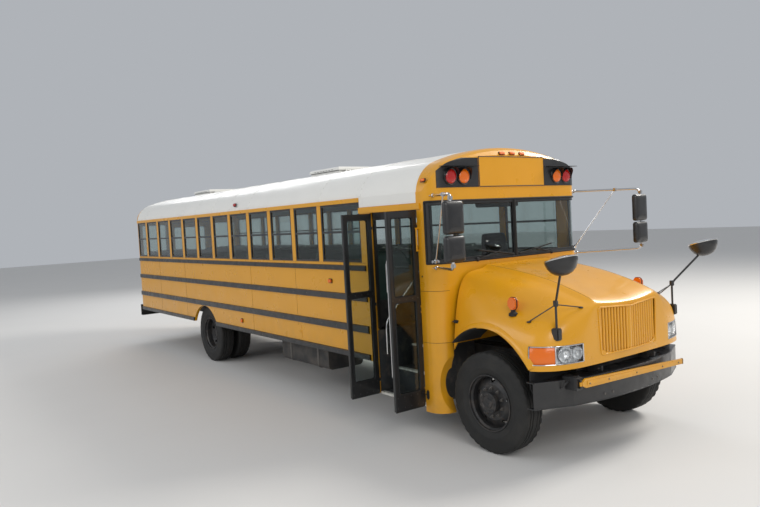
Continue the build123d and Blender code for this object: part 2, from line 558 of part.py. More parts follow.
# Outside mirrors: a bent tube frame from cap to cowl, a brace and two heads each side
MIR_X = AX + 40
MIR_Y = HALF + 333
top_z = HEAD_Z - 19
low_z = SILL_Z - 8
foot_x = NOSE_FACE - 60
foot_y = HALF - 60
tube = [(foot_x, foot_y, HEAD_Z), (MIR_X, MIR_Y, top_z), (MIR_X, MIR_Y, low_z), (foot_x, foot_y, SILL_Z - 40)]
arms = along_z(MIR_X, MIR_Y, 13, low_z - 20, top_z + 20)
arms += rod(tube[0], tube[1], 11) + rod(tube[3], tube[2], 11)
k = 0.64
knee = tuple(a + k * (b - a) for a, b in zip(tube[0], tube[1]))
arms += rod(knee, (foot_x, foot_y, SILL_Z - 28), 8)
arms -= nose(0, STEP_Z, ROOF_Z)
for z0, z1 in ((HEAD_Z - 404, HEAD_Z - 86), (SILL_Z + 62, SILL_Z + 314)):
    head = box(MIR_X - 8, MIR_X + 42, MIR_Y - 150, MIR_Y + 98, z0, z1)
    arms += fillet(head.edges().filter_by(Axis.X), 28)
nodes["side_mirrors"] = both(arms)

# Warning lamps at both ends, tail lamps at the rear
lamps = []
for y in (HALF - 449, HALF - 264):
    for s in (-1, 1):
        lamp = Solid.make_cylinder(88, 60, Plane(origin=(NOSE_FACE - 20, s * y, LAMP_Z), z_dir=(1, 0, 0)))
        lamps.append(lamp - nose(-6.3, CAP_Z, ROOF_Z))
        lamps.append(Solid.make_cylinder(88, 30, Plane(origin=(REAR_X - 30, s * y, LAMP_Z), z_dir=(1, 0, 0))))
for s in (-1, 1):
    lamps.append(Solid.make_cylinder(90, 30, Plane(origin=(REAR_X - 30, s * (HALF - 240), SILL_Z - 190), z_dir=(1, 0, 0))))
    lamps.append(Solid.make_cylinder(60, 30, Plane(origin=(REAR_X - 30, s * (HALF - 240), FLOOR_Z + 160), z_dir=(1, 0, 0))))
nodes["warning_lamps"] = Compound(children=lamps)

# Hood sections: heights above the floor, and distances in from the body's half-width
HOOD = (
    # x, crown z, crease (in, z), shoulder (in, z), fender top (in, z), side (in, z), hem in
    (-555, 760, (719, 755), (349, 735), (244, 420), (174, 10), 159),
    (-60, 675, (719, 685), (399, 650), (179, 380), (69, 175), 49),
    (400, 560, (719, 585), (474, 560), (179, 340), (54, 145), 31),
    (620, 480, (724, 510), (519, 480), (219, 290), (69, 120), 37),
    (HOOD_NOSE - 60, 390, (729, 440), (579, 410), (369, 220), (279, 100), 254),
    (HOOD_NOSE, 320, (NOSE_IN, 400), (619, 360), (539, 170), (LAMP_OUT, 70), 504),
)
HEM_Z = FLOOR_Z - 160


def hood_body(t, x_shift):
    rings = []
    for i, (x, zc, (in1, z1), (in2, z2), (in3, z3), (in4, z4), in5) in enumerate(HOOD):
        x = AX + x
        if i == 0:
            x -= x_shift
        if i == len(HOOD) - 1:
            x -= t
        low = HEM_Z - x_shift
        half = [(HALF - in5, low - FLOOR_Z), (HALF - in4, z4 + t / 2), (HALF - in3, z3), (HALF - in2, z2), (HALF - in1 + t, z1)]
        right = [Vector(x, t - y, FLOOR_Z + z - t) for y, z in half]
        right[0] = Vector(x, t - half[0][0], low)
        left = [Vector(x, -p.Y, p.Z) for p in reversed(right)]
        pts = right + [Vector(x, 0, FLOOR_Z + zc - t)] + left
        rings.append(Wire.make_polygon(pts, close=True))
    return Solid.make_loft(rings, ruled=True)


hood_outer = hood_body(0, 0)
hood = hood_outer - hood_body(HOOD_T, 60)
lip = hood_body(-12, 0) - hood_body(HOOD_T, 60)
lip &= along_y(AX, ARCH_Z, ARCH_R + 26, -HALF, HALF)
lip -= box(AX - ARCH_R - 50, AX + ARCH_R + 50, 260 - HALF, HALF - 260, 0, ROOF_Z)
hood += lip
hood -= along_y(AX, ARCH_Z, ARCH_R, -HALF - 100, HALF + 100)
grille_top = FLOOR_Z + 350
grille_low = FLOOR_Z - 90
NOSE_Y = HALF - NOSE_IN


def grille_outline(low_y, top_y, low, top, dip):
    return [(-low_y, low), (low_y, low), (top_y, top), (0, top - dip), (-top_y, top)]


outline = grille_outline(NOSE_Y - 32, NOSE_Y - 7, grille_low, grille_top, 80)
hood -= prism_x(outline, AX + HOOD_NOSE - 70, AX + HOOD_NOSE + 50)
lamp_cut = both(box(AX + HOOD_NOSE - 290, AX + HOOD_NOSE + 50, HALF - LAMP_OUT, HALF + 100, FLOOR_Z - 109, FLOOR_Z + 68))
nodes["headlamps"] = hood & lamp_cut
hood -= lamp_cut
ears = [(-30, 98), (5, 98), (18, 18), (15, -16), (-15, -16), (-22, 8)]
ears = prism_y([(PIVOT_X + x, PIVOT_Z + z) for x, z in ears], RAIL_OUT + 35, RAIL_OUT + 50)
hood += both(ears - along_y(PIVOT_X, PIVOT_Z, 10 + RUN, 0, HALF))
nodes["hood"] = hood

# Grille: two halves of upright bars in one frame behind the opening
grille_x = AX + HOOD_NOSE - 38
wide = grille_outline(NOSE_Y - 17, NOSE_Y + 13, grille_low - 15, grille_top + 30, 88)
clear = grille_outline(NOSE_Y - 47, NOSE_Y - 22, grille_low + 15, grille_top - 15, 80)
grille = prism_x(wide, grille_x, grille_x + 12) - prism_x(clear, grille_x - 10, grille_x + 20)
bars = 20
for i in range(bars + 1):
    y = (2 * i / bars - 1) * (NOSE_Y - 47)
    top = grille_top - 85 + abs(y) * 0.16
    grille += box(grille_x, grille_x + 12, y - 10, y + 10, grille_low, top)
nodes["grille"] = grille - hood

# Crossover mirrors: a bowl on a post with two braces each side
FOOT = (AX + HOOD_NOSE - 95, HALF - 252)
knee = (FOOT[0], FOOT[1], FLOOR_Z + 460)
post = along_z(FOOT[0], FOOT[1], 12, FLOOR_Z + 50, knee[2] + 9)
BOWL = (AX + HOOD_NOSE + 150, HALF - 44, FLOOR_Z + 885)
post += rod(knee, (BOWL[0] - 25, BOWL[1] - 25, BOWL[2] - 120), 12)
post += rod(knee, (FOOT[0] - 255, FOOT[1] + 83, FLOOR_Z + 230), 7)
post += rod(knee, (FOOT[0] + 35, FOOT[1] - 327, FLOOR_Z + 250), 7)
bowl = Pos(*BOWL) * Sphere(150)
bowl -= Pos(BOWL[0], BOWL[1], BOWL[2] + 210) * Box(400, 400, 400)
nodes["crossover_mirrors"] = both((post - hood_outer) + bowl)

# Entrance door leaves, stored open, on hinges at the jambs
HINGE_Y = 4 - HALF
LEAF = (DOORWAY - 39) / 2
EDGE_D = 55
for name, x, s in (("front", JAMB_F - 18, 1), ("rear", JAMB_R + 18, -1)):
    y1 = HINGE_Y - 12
    y0 = HINGE_Y - LEAF
    leaf = box(x - 16, x + 16, y0, y1, STEP_Z + 15, DOOR_TOP - 10)
    panes = []
    for z0, z1 in ((FLOOR_Z + 480, DOOR_TOP - 80), (STEP_Z + 190, FLOOR_Z + 420)):
        leaf -= box(x - 20, x + 20, y0 + EDGE_D, y1 - EDGE_D, z0, z1)
        panes.append(box(x - 3, x + 3, y0 + EDGE_D, y1 - EDGE_D, z0, z1))
    for z in (STEP_Z + 170, FLOOR_Z + 320, DOOR_TOP - 180):
        fixed, sleeve = hinge(x, HINGE_Y, z, (0, 0, 1))
        for d in (-40, 24):
            x0, x1 = sorted((x, x + s * 20))
            fixed += box(x0, x1, HINGE_Y - 4, HINGE_Y + 12, z + d, z + d + 16)
        nodes["right_wall"] += fixed
        leaf += sleeve + box(x - 4, x + 4, y1 - 2, HINGE_Y - 9, z - 18, z + 18)
    nodes["door_leaf_" + name] = leaf
    nodes["door_glass_" + name] = Compound(children=panes)

# Rear emergency door
door = box(REAR_X, REAR_X + 40, 7 - EXIT, EXIT - 7, FLOOR_Z - 33, EXIT_TOP - 7)
door -= box(REAR_X - 5, REAR_X + 50, 105 - EXIT, EXIT - 105, SILL_Z, EXIT_TOP - 100)
PIN_X = REAR_X - 14
for z in (FLOOR_Z + 220, SILL_Z - 38, EXIT_TOP - 190):
    fixed, sleeve = hinge(PIN_X, -EXIT - 1, z, (0, 0, 1))
    for d in (-40, 24):
        fixed += box(REAR_X - 18, REAR_X + 2, -EXIT - 45, -EXIT - 1, z + d, z + d + 16)
    door += sleeve + box(REAR_X - 6, REAR_X + 2, 5 - EXIT, 55 - EXIT, z - 18, z + 18)
    door += box(REAR_X - 18, REAR_X - 4, 9 - EXIT, 19 - EXIT, z - 18, z + 18)
    nodes["rear_wall"] += fixed
nodes["emergency_door"] = door
nodes["emergency_glass"] = box(REAR_X + GLASS_IN, REAR_X + GLASS_IN + PANE, 105 - EXIT, EXIT - 105, SILL_Z, EXIT_TOP - 100)

# Roof hatch lids
for name, x in hatches:
    lid = box(x - HATCH_X - 40, x + HATCH_X + 40, -HATCH_Y - 40, HATCH_Y + 40, LID_Z, LID_Z + 50)
    lid = chamfer(lid.edges().group_by(Axis.Z)[-1], 20)
    px = x + HATCH_X + 60
    for y in (-220, 220):
        fixed, sleeve = hinge(px, y, LID_Z, (0, 1, 0))
        for d in (-40, 24):
            fixed += box(px - 45, px + 5, y + d, y + d + 16, LID_Z - 35, LID_Z - 7)
            fixed += box(px - 10, px + 10, y + d, y + d + 16, LID_Z - 35, LID_Z)
        lid += sleeve + box(px - 25, px, y - 18, y + 18, LID_Z + 7, LID_Z + 12)
        nodes["roof"] += fixed
    nodes[name] = lid

# Stop arm folded against the left side
STOP_X = AX - 1220
STOP_Z = SILL_Z - 318
oct_r = 225 / math.cos(math.pi / 8)
pts = []
for k in range(8):
    a = math.pi / 8 + k * math.pi / 4
    pts.append((STOP_X - 280 + oct_r * math.cos(a), STOP_Z - 70 + oct_r * math.sin(a)))
stop = prism_y(pts, HALF + 40, HALF + 52)
base = box(STOP_X - 50, STOP_X + 30, HALF, HALF + 28, STOP_Z - 70, STOP_Z + 70)
fixed, sleeve = hinge(STOP_X, HALF + 46, STOP_Z, (0, 0, 1))
for d in (-40, 24):
    fixed += box(STOP_X - 8, STOP_X + 8, HALF + 20, HALF + 44, STOP_Z + d, STOP_Z + d + 16)
stop += sleeve + box(STOP_X - 80, STOP_X - 10, HALF + 42, HALF + 50, STOP_Z - 18, STOP_Z + 18)
nodes["stop_arm"] = stop
nodes["stop_arm_base"] = base + fixed


# Wheels: tyres with rounded shoulders on dished steel discs
def tyre(yc):
    w = TYRE_W / 2
    r = TYRE_R
    b = RIM_R
    side = [(b, w - 24), (b + 35, w - 7), (b + 105, w), (r - 45, w - 5), (r - 12, w - 20), (r, w - 40)]
    ring = turned(side + [(x, -y) for x, y in reversed(side)])
    return Pos(0, yc, 0) * ring


def disc_wheel(yc, out):
    # rim barrel with a drop centre, a dished disc with hand holes, and the hub
    w = TYRE_W / 2 - 14
    b = RIM_R - 0.3
    inside = [(b - 12, -w), (b - 12, 24 - w), (b - 28, 40 - w), (b - 28, w - 40), (b - 12, w - 24), (b - 12, w)]
    ring = turned([(b, w), (b, -w)] + inside)
    d = abs(out) / out
    y = abs(out)
    dish = [(0, y - 60), (0, y + 60), (100, y + 60), (100, y + 8), (180, y + 8)]
    dish += [(b - 20, y - 40), (b - 20, y - 56), (174, y - 4), (100, y - 4), (100, y - 60)]
    disc = turned([(r, d * h) for r, h in dish])
    for k in range(5):
        a = math.radians(90 + 72 * k)
        disc -= along_y(220 * math.cos(a), 220 * math.sin(a), 24, -TYRE_W, TYRE_W)
    return Pos(0, yc, 0) * (ring + disc)


for side, s in (("right", -1), ("left", 1)):
    c = TRACK_F
    spot = Pos(AX, 0, TYRE_R)
    t = spot * tyre(c)
    w = spot * (disc_wheel(c, 50) - along_y(0, 0, SPINDLE_R + RUN, 0, c + 90))
    knuckle = box(AX - 40, AX + 40, KINGPIN + 50, KINGPIN + 80, TYRE_R - 128, TYRE_R + 122)
    knuckle += box(AX - 40, AX + 40, KINGPIN - 40, KINGPIN + 80, BEAM_TOP + 26, TYRE_R + 122)
    knuckle += box(AX - 40, AX + 40, KINGPIN - 40, KINGPIN + 80, TYRE_R - 128, BEAM_TOP - 106)
    knuckle -= along_z(AX, KINGPIN, 20 + RUN, 0, TYRE_R + 200)
    knuckle += along_y(AX, TYRE_R, SPINDLE_R, KINGPIN + 80, c + 85)
    t2 = tyre(DUAL_OUT) + tyre(DUAL_IN)
    w2 = disc_wheel(DUAL_OUT, -60) + disc_wheel(DUAL_IN, 60) + along_y(0, 0, 100, DUAL_IN + 60, DUAL_OUT - 60)
    w2 -= along_y(0, 0, 34 + RUN, 0, DUAL_OUT - 15)
    spot = Pos(REAR_AX, 0, TYRE_R)
    pieces = {"front_tyre_": t, "front_rim_": w, "knuckle_": knuckle, "rear_tyres_": spot * t2, "rear_rims_": spot * w2}
    for name, shape in pieces.items():
        nodes[name + side] = shape if s > 0 else mirror(shape, about=Plane.XZ)

for name, shape in nodes.items():
    export_step(shape, "parts/" + name + ".step")
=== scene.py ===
import json
from math import cos, pi, radians, sin, sqrt

import bmesh
import bpy
from mathutils import Matrix, Vector
from mathutils.bvhtree import BVHTree


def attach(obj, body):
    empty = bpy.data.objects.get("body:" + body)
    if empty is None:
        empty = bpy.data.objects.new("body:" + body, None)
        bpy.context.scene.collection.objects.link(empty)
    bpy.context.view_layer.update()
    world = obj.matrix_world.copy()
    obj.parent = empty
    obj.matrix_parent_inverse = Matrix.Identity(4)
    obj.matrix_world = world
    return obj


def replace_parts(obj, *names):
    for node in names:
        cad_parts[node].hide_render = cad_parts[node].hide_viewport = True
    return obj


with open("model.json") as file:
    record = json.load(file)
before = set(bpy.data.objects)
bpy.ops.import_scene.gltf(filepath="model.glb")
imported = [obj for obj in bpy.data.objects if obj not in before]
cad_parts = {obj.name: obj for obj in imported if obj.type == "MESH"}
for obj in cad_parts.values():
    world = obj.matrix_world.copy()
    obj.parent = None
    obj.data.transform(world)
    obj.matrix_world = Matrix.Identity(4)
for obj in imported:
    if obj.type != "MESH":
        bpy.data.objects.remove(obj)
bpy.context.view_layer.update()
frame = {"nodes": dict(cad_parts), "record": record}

SCENE = bpy.context.scene

# Places in metres, the same as the solids': axles, rear wall, half the width, heights, doors and hatches
AX = 4.85
RA = AX - 7.01
RX = AX - 10.68
HALF = 1.219
FLOOR = 1.08
SILL = 1.888
HEAD = 2.619
EAVE = 2.65
ROOF = 3.15
PITCH = 0.711
DOOR_FRONT = AX - 0.868
DOOR_REAR = AX - 1.735
HATCHES = (("hatch_front", AX - 4.05), ("hatch_rear", AX - 8.89))
SIDES = (("right", -1), ("left", 1))
SLOT_MAT = {}


# Materials: every one is built from nodes in object space
class Mat:
    def __init__(self, name, slot, color, rough=0.5, metal=0.0, coat=0.0, ior=1.5, transmission=0.0):
        self.m = bpy.data.materials.new(name)
        self.m.use_nodes = True
        self.nodes = self.m.node_tree.nodes
        self.b = self.nodes["Principled BSDF"]
        self.co = self.node("TexCoord", "Object", {})
        self.normal = None
        self.slot = slot
        SLOT_MAT.setdefault(slot, self)
        looks = {"Base Color": (*color, 1), "Roughness": rough, "Metallic": metal, "Coat Weight": coat}
        for key, value in {**looks, "IOR": ior, "Transmission Weight": transmission}.items():
            self.put(self.b.inputs[key], value)

    def put(self, socket, value):
        if isinstance(value, bpy.types.NodeSocket):
            self.m.node_tree.links.new(value, socket)
        else:
            socket.default_value = value

    def node(self, kind, out, inputs, **settings):
        n = self.nodes.new("ShaderNode" + kind)
        for key, value in settings.items():
            setattr(n, key, value)
        for key, value in inputs.items():
            self.put(n.inputs[key], value)
        return n.outputs[out]

    def noise(self, scale, detail=3.0, stretch=(1, 1, 1)):
        spot = self.co
        if stretch != (1, 1, 1):
            spot = self.node("Mapping", "Vector", {"Vector": self.co, "Scale": stretch})
        return self.node("TexNoise", "Fac", {"Vector": spot, "Scale": scale, "Detail": detail})

    def cells(self, scale):
        return self.node("TexVoronoi", "Distance", {"Vector": self.co, "Scale": scale})

    def wave(self, scale, axis):
        return self.node("TexWave", "Fac", {"Vector": self.co, "Scale": scale}, bands_direction=axis)

    def ramp(self, value, a, b, low=0.0, high=1.0):
        ends = {"From Min": a, "From Max": b, "To Min": low, "To Max": high}
        return self.node("MapRange", "Result", {"Value": value, **ends})

    def times(self, a, b):
        return self.node("Math", 0, {0: a, 1: b}, operation="MULTIPLY")

    def tint(self, fac, color):
        # lays another colour over the present one where fac is high
        base = self.b.inputs["Base Color"]
        old = base.links[0].from_socket if base.is_linked else tuple(base.default_value)
        self.put(base, self.node("Mix", 2, {0: fac, 6: old, 7: (*color, 1)}, data_type="RGBA"))
        return self

    def worn(self, scale, detail, a, b, amount, color):
        # patches of another colour
        return self.tint(self.times(self.ramp(self.noise(scale, detail), a, b), amount), color)

    def rough(self, fac, a, b):
        self.put(self.b.inputs["Roughness"], self.ramp(fac, 0.3, 0.7, a, b))
        return self

    def bump(self, value, strength, distance):
        under = {"Normal": self.normal} if self.normal else {}
        inputs = {"Height": value, "Strength": strength, "Distance": distance, **under}
        self.normal = self.node("Bump", "Normal", inputs)
        self.put(self.b.inputs["Normal"], self.normal)
        return self


def painted(name, slot, color, dirt, gloss, coat):
    m = Mat(name, slot, color, gloss, coat=coat)
    m.b.inputs["Coat Roughness"].default_value = 0.08
    height = m.node("SeparateXYZ", "Z", {0: m.co})
    m.worn(1.7, 5.0, 0.35, 0.75, 0.22, tuple(c * 0.8 for c in color))
    m.tint(m.times(m.times(m.ramp(height, 1.25, 0.35), m.ramp(m.noise(6.0, 6.0), 0.35, 0.8)), 0.4), dirt)
    m.tint(m.times(m.ramp(m.noise(9.0, 4.0, (3.0, 3.0, 0.25)), 0.62, 0.85), 0.1), dirt)
    m.rough(m.noise(4.0, 5.0), gloss - 0.06, gloss + 0.12)
    m.bump(m.noise(1.2, 1.0), 0.12, 0.004).bump(m.noise(260.0, 2.0), 0.06, 0.0006)
    return m


YELLOW = painted("paint_yellow", "body_yellow", (0.74, 0.34, 0.006), (0.3, 0.18, 0.05), 0.3, 0.28)
WHITE = painted("paint_white", "roof_white", (0.8, 0.79, 0.75), (0.42, 0.38, 0.32), 0.4, 0.2)
BLACK = Mat("trim_black", "trim_black", (0.011, 0.011, 0.012), 0.34, coat=0.35)
BLACK.worn(7.0, 6.0, 0.5, 0.85, 0.22, (0.06, 0.055, 0.05))
BLACK.rough(BLACK.noise(11.0, 5.0), 0.3, 0.55).bump(BLACK.noise(140.0, 3.0), 0.1, 0.0008)
CHASSIS = Mat("chassis_black", "chassis_black", (0.02, 0.02, 0.021), 0.62)
CHASSIS.worn(5.0, 8.0, 0.4, 0.75, 0.7, (0.11, 0.095, 0.078)).bump(CHASSIS.noise(60.0, 6.0), 0.3, 0.002)
ENGINE = Mat("cast_grey", "engine_grey", (0.12, 0.125, 0.13), 0.6, 0.7)
ENGINE.bump(ENGINE.noise(180.0, 5.0), 0.4, 0.0012).rough(ENGINE.noise(12.0), 0.45, 0.75)
STEEL = Mat("exhaust_steel", "pipe_steel", (0.3, 0.27, 0.24), 0.45, 0.9)
STEEL.worn(8.0, 6.0, 0.45, 0.8, 1.0, (0.13, 0.07, 0.04)).bump(STEEL.noise(90.0, 4.0), 0.2, 0.001)
GLASS = Mat("window_glass", "glass", (0.62, 0.7, 0.68), 0.02, ior=1.45, transmission=1.0)
GLASS.rough(GLASS.noise(3.0, 5.0), 0.0, 0.05)
MATTING = Mat("floor_rubber", "floor_grey", (0.045, 0.047, 0.05), 0.7)
MATTING.bump(MATTING.wave(28.0, "Y"), 0.5, 0.002).worn(9.0, 6.0, 0.5, 0.8, 1.0, (0.14, 0.12, 0.1))
VINYL = Mat("seat_vinyl", "seat_green", (0.03, 0.06, 0.05), 0.42)
VINYL.bump(VINYL.cells(420.0), 0.25, 0.0006).rough(VINYL.noise(14.0, 4.0), 0.34, 0.55)
CLOTH = Mat("seat_cloth", "seat_black", (0.02, 0.02, 0.024), 0.9)
CLOTH.bump(CLOTH.noise(700.0, 2.0), 0.5, 0.0005)
DASH = Mat("dash_plastic", "dash_grey", (0.03, 0.031, 0.034), 0.6)
DASH.bump(DASH.cells(500.0), 0.3, 0.0005).rough(DASH.noise(20.0), 0.5, 0.7)
RED = Mat("lens_red", "lamp_red", (0.46, 0.008, 0.006), 0.2, coat=0.4)
RED.bump(RED.wave(30.0, "Z"), 0.35, 0.001)
CLEAR = Mat("lens_clear", "lamp_clear", (0.62, 0.64, 0.65), 0.12, 0.2, coat=0.7)
CLEAR.bump(CLEAR.wave(24.0, "Y"), 0.4, 0.001)
SIGNAL = Mat("stop_red", "stop_red", (0.5, 0.012, 0.015), 0.35, coat=0.4)
SIGNAL.bump(SIGNAL.cells(300.0), 0.1, 0.0004)
TYRE = Mat("tyre_rubber", "tyre", (0.012, 0.012, 0.0115), 0.74)
TYRE.worn(6.0, 7.0, 0.45, 0.8, 0.35, (0.05, 0.045, 0.038)).bump(TYRE.noise(220.0, 5.0), 0.35, 0.001)
RIM = Mat("rim_black", "rim_black", (0.032, 0.032, 0.033), 0.48, 0.3)
RIM.worn(14.0, 6.0, 0.45, 0.8, 0.6, (0.12, 0.1, 0.085)).bump(RIM.noise(150.0, 4.0), 0.2, 0.0008)
SLOT_MAT["grille_yellow"] = YELLOW

for part in frame["record"]["subparts"]:
    for s in frame["nodes"][part["node"]].material_slots:
        s.material = SLOT_MAT[part["material_slot"]].m

AMBER = Mat("lens_amber", "lamp_red", (0.8, 0.155, 0.002), 0.2, coat=0.4)
AMBER.bump(AMBER.wave(26.0, "Z"), 0.4, 0.001)
CHROME = Mat("bright_metal", "trim_black", (0.62, 0.62, 0.62), 0.16, 1.0)
CHROME.rough(CHROME.noise(18.0, 4.0), 0.1, 0.26)
ALU = Mat("sash_metal", "engine_grey", (0.3, 0.3, 0.3), 0.42, 0.9)
ALU.rough(ALU.noise(30.0, 4.0), 0.35, 0.55)
NUT = Mat("nut_steel", "trim_black", (0.16, 0.15, 0.14), 0.38, 0.9)
NUT.rough(NUT.noise(60.0, 4.0), 0.3, 0.55)
MIRROR = Mat("mirror_glass", "trim_black", (0.8, 0.82, 0.83), 0.03, 1.0)
RUBBER = Mat("black_rubber", "trim_black", (0.014, 0.014, 0.014), 0.75)
RUBBER.bump(RUBBER.noise(90.0, 4.0), 0.25, 0.001)
# Dark screen behind the grille; its golden-brown tint is partly painted shade of the slots between the
# bars
SCREEN_SHADE = Mat("screen_black", "trim_black", (0.06, 0.045, 0.02), 0.7)
SCREEN_SHADE.bump(SCREEN_SHADE.cells(160.0), 0.8, 0.003)
LENS = Mat("lamp_cover", "lamp_clear", (0.92, 0.94, 0.95), 0.04, ior=1.45, transmission=1.0)
LENS.bump(LENS.wave(22.0, "Z"), 0.25, 0.001)
REFLECTOR = Mat("reflector", "lamp_clear", (0.9, 0.91, 0.92), 0.28, 0.75)
REFLECTOR.rough(REFLECTOR.noise(12.0, 3.0), 0.22, 0.34)
# Dark yellow-brown for the seam and crease lines: painted shade standing in for the recess of each seam
SEAM_SHADE = Mat("seam_shadow", "body_yellow", (0.1, 0.045, 0.004), 0.6)
SEAM_SHADE.rough(SEAM_SHADE.noise(40.0), 0.5, 0.7)
SCALE = Mat("dial_face", "dash_grey", (0.012, 0.012, 0.013), 0.35, coat=0.5)
SCALE.tint(SCALE.ramp(SCALE.cells(60.0), 0.1, 0.06), (0.55, 0.55, 0.52))
NOSING = Mat("step_nosing", "floor_grey", (0.78, 0.77, 0.7), 0.45)
NOSING.worn(20.0, 6.0, 0.45, 0.8, 1.0, (0.24, 0.22, 0.19)).bump(NOSING.wave(60.0, "X"), 0.3, 0.001)
CAULK = Mat("seam_caulk", "roof_white", (0.3, 0.29, 0.27), 0.7)
CAULK.worn(9.0, 5.0, 0.45, 0.75, 1.0, (0.16, 0.15, 0.13))
LINER = Mat("inside_panel", "roof_white", (0.36, 0.4, 0.37), 0.5)
LINER.worn(5.0, 5.0, 0.45, 0.8, 0.3, (0.24, 0.26, 0.24)).bump(LINER.cells(300.0), 0.12, 0.0005)
BORDER = Mat("pale_border", "stop_red", (0.8, 0.8, 0.78), 0.35)
BORDER.bump(BORDER.cells(500.0), 0.2, 0.0004)

UP = Vector((0, 0, 1))
FORE = Vector((1, 0, 0))

# Shapes: each call adds to the shape at hand, and done() turns it into a piece on a body
bm = bmesh.new()


def V(*p):
    return Vector(p)


def taken(name, flip=True):
    # the shape at hand as a mesh; the next shape starts empty
    global bm
    if flip:
        bmesh.ops.recalc_face_normals(bm, faces=bm.faces)
    mesh = bpy.data.meshes.new(name)
    bm.to_mesh(mesh)
    bm.free()
    bm = bmesh.new()
    return mesh


def linked(name, data):
    ob = bpy.data.objects.new(name, data)
    SCENE.collection.objects.link(ob)
    return ob


def piece(mesh, name, mat, body="body", angle=32):
    for p in mesh.polygons:
        p.use_smooth = True
    mesh.set_sharp_from_angle(angle=radians(angle))
    mesh.materials.clear()
    mesh.materials.append(mat.m)
    ob = linked(name, mesh)
    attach(ob, body)
    return ob


def done(name, mat, body="body", angle=32, flip=True):
    return piece(taken(name, flip), name, mat, body, angle)


def block(lo, hi, bevel=0.0):
    lo, hi = V(*lo), V(*hi)
    size = [abs(v) for v in hi - lo]
    place = Matrix.Translation((lo + hi) / 2) @ Matrix.Diagonal((*size, 1))
    made = bmesh.ops.create_cube(bm, size=1, matrix=place)["verts"]
    if bevel:
        edges = list({e for v in made for e in v.link_edges})
        bmesh.ops.bevel(bm, geom=edges, offset=bevel, segments=2, affect="EDGES", clamp_overlap=True)


def bridge(rings, closed=True):
    for a, b in zip(rings, rings[1:]):
        n = max(len(a), len(b))
        for k in range(n if closed else n - 1):
            quad = [a[k % len(a)], a[(k + 1) % len(a)], b[(k + 1) % len(b)], b[k % len(b)]]
            quad = list(dict.fromkeys(quad))
            if len(quad) > 2:
                bm.faces.new(quad)


def verts(points):
    return [bm.verts.new(p) for p in points]


def sheet(rows, around=False):
    # open surface through rows of points, or one that comes back to its first row
    rows = [verts(row) for row in rows]
    bridge(rows + rows[:1] if around else rows, closed=False)


def loft(rows, caps=(), around=False):
    # closed form through rings of points, with flat faces on the rings named in caps
    rings = [verts(row) for row in rows]
    bridge(rings + rings[:1] if around else rings)
    for k in caps:
        bm.faces.new(rings[k])


def circle(p, u, v, r, n, squash=1.0):
    turn = [2 * pi * k / n for k in range(n)]
    return verts(p + r * cos(a) * u + r * squash * sin(a) * v for a in turn)


def tube(points, r, n=10, squash=1.0, up=None):
    pts = [Vector(p) for p in points]
    side = Vector(up) if up else None
    rings = []
    for i, p in enumerate(pts):
        t = (pts[min(i + 1, len(pts) - 1)] - pts[max(i - 1, 0)]).normalized()
        if side is None:
            side = t.orthogonal()
        side = (side - t * side.dot(t)).normalized()
        rings.append(circle(p, side, t.cross(side), r, n, squash))
    bridge(rings)
    bm.faces.new(rings[0])
    bm.faces.new(rings[-1])


def bent(points, r, steps=5):
    # the same line with its corners rounded
    pts = [Vector(p) for p in points]
    out = [pts[0]]
    for a, b, c in zip(pts, pts[1:], pts[2:]):
        p = b + (a - b).normalized() * min(r, (a - b).length / 2)
        q = b + (c - b).normalized() * min(r, (c - b).length / 2)
        for k in range(steps + 1):
            t = k / steps
            out.append(p * (1 - t) ** 2 + b * 2 * t * (1 - t) + q * t ** 2)
    return out + [pts[-1]]


def loop_bar(x, y0, y1, z0, z1, r, corner, n=8, steps=5, **shape):
    # round bar along an upright rectangle with rounded corners
    m = (y0 + y1) / 2
    loop = [(x, m, z0), (x, y1, z0), (x, y1, z1), (x, y0, z1), (x, y0, z0), (x, m, z0)]
    tube(bent(loop, corner, steps), r, n, **shape)


def lathe(profile, origin, axis, n=32, loop=False):
    z = Vector(axis).normalized()
    x = z.orthogonal().normalized()
    y = z.cross(x)
    o = Vector(origin)
    rings = []
    for r, h in profile:
        rings.append([bm.verts.new(o + z * h)] if r < 1e-6 else circle(o + z * h, x, y, r, n))
    bridge(rings + rings[:1] if loop else rings)


def plate(outline, origin, u, v, thick, bevel=0.0):
    # flat outline of (u, v) points with a thickness along their cross product
    o, u, v = Vector(origin), Vector(u), Vector(v)
    w = u.cross(v).normalized() * thick
    a, b = verts(o + u * p + v * q for p, q in outline), verts(o + u * p + v * q + w for p, q in outline)
    faces = [bm.faces.new(a), bm.faces.new(b)]
    bridge([a, b])
    if bevel:
        edges = list({e for f in faces for e in f.edges})
        bmesh.ops.bevel(bm, geom=edges, offset=bevel, segments=2, affect="EDGES")


def rounded(w, h, r, n=4):
    # outline of a rectangle with round corners, round its middle
    out = []
    for k, (sx, sy) in enumerate(((1, 1), (-1, 1), (-1, -1), (1, -1))):
        for i in range(n + 1):
            a = pi / 2 * (k + i / n)
            out.append((sx * (w / 2 - r) + r * cos(a), sy * (h / 2 - r) + r * sin(a)))
    return out


def studs(points, normal, r, h, n=6):
    # low domed heads: rivets, bolts and nuts
    for p in points:
        lathe([(r, -0.0005), (r * 0.92, h * 0.55), (r * 0.5, h * 0.95), (0, h)], p, normal, n)


def rivets(name, spots, mat, body="body", r=0.0052, h=0.003):
    # many small heads as one mesh, each at a point and along its own normal
    points, faces = [], []
    for p, n in spots:
        p, n = Vector(p), Vector(n).normalized()
        u = n.orthogonal().normalized()
        v = n.cross(u)
        base = len(points)
        for q, up in ((r, -0.0004), (r * 0.62, h)):
            for k in range(6):
                a = pi * k / 3
                points.append(tuple(p + n * up + u * (q * cos(a)) + v * (q * sin(a))))
        for k in range(6):
            j = (k + 1) % 6
            faces.append((base + k, base + j, base + 6 + j, base + 6 + k))
        faces.append(tuple(range(base + 6, base + 12)))
    mesh = bpy.data.meshes.new(name)
    mesh.from_pydata(points, [], faces)
    return piece(mesh, name, mat, body, 20)


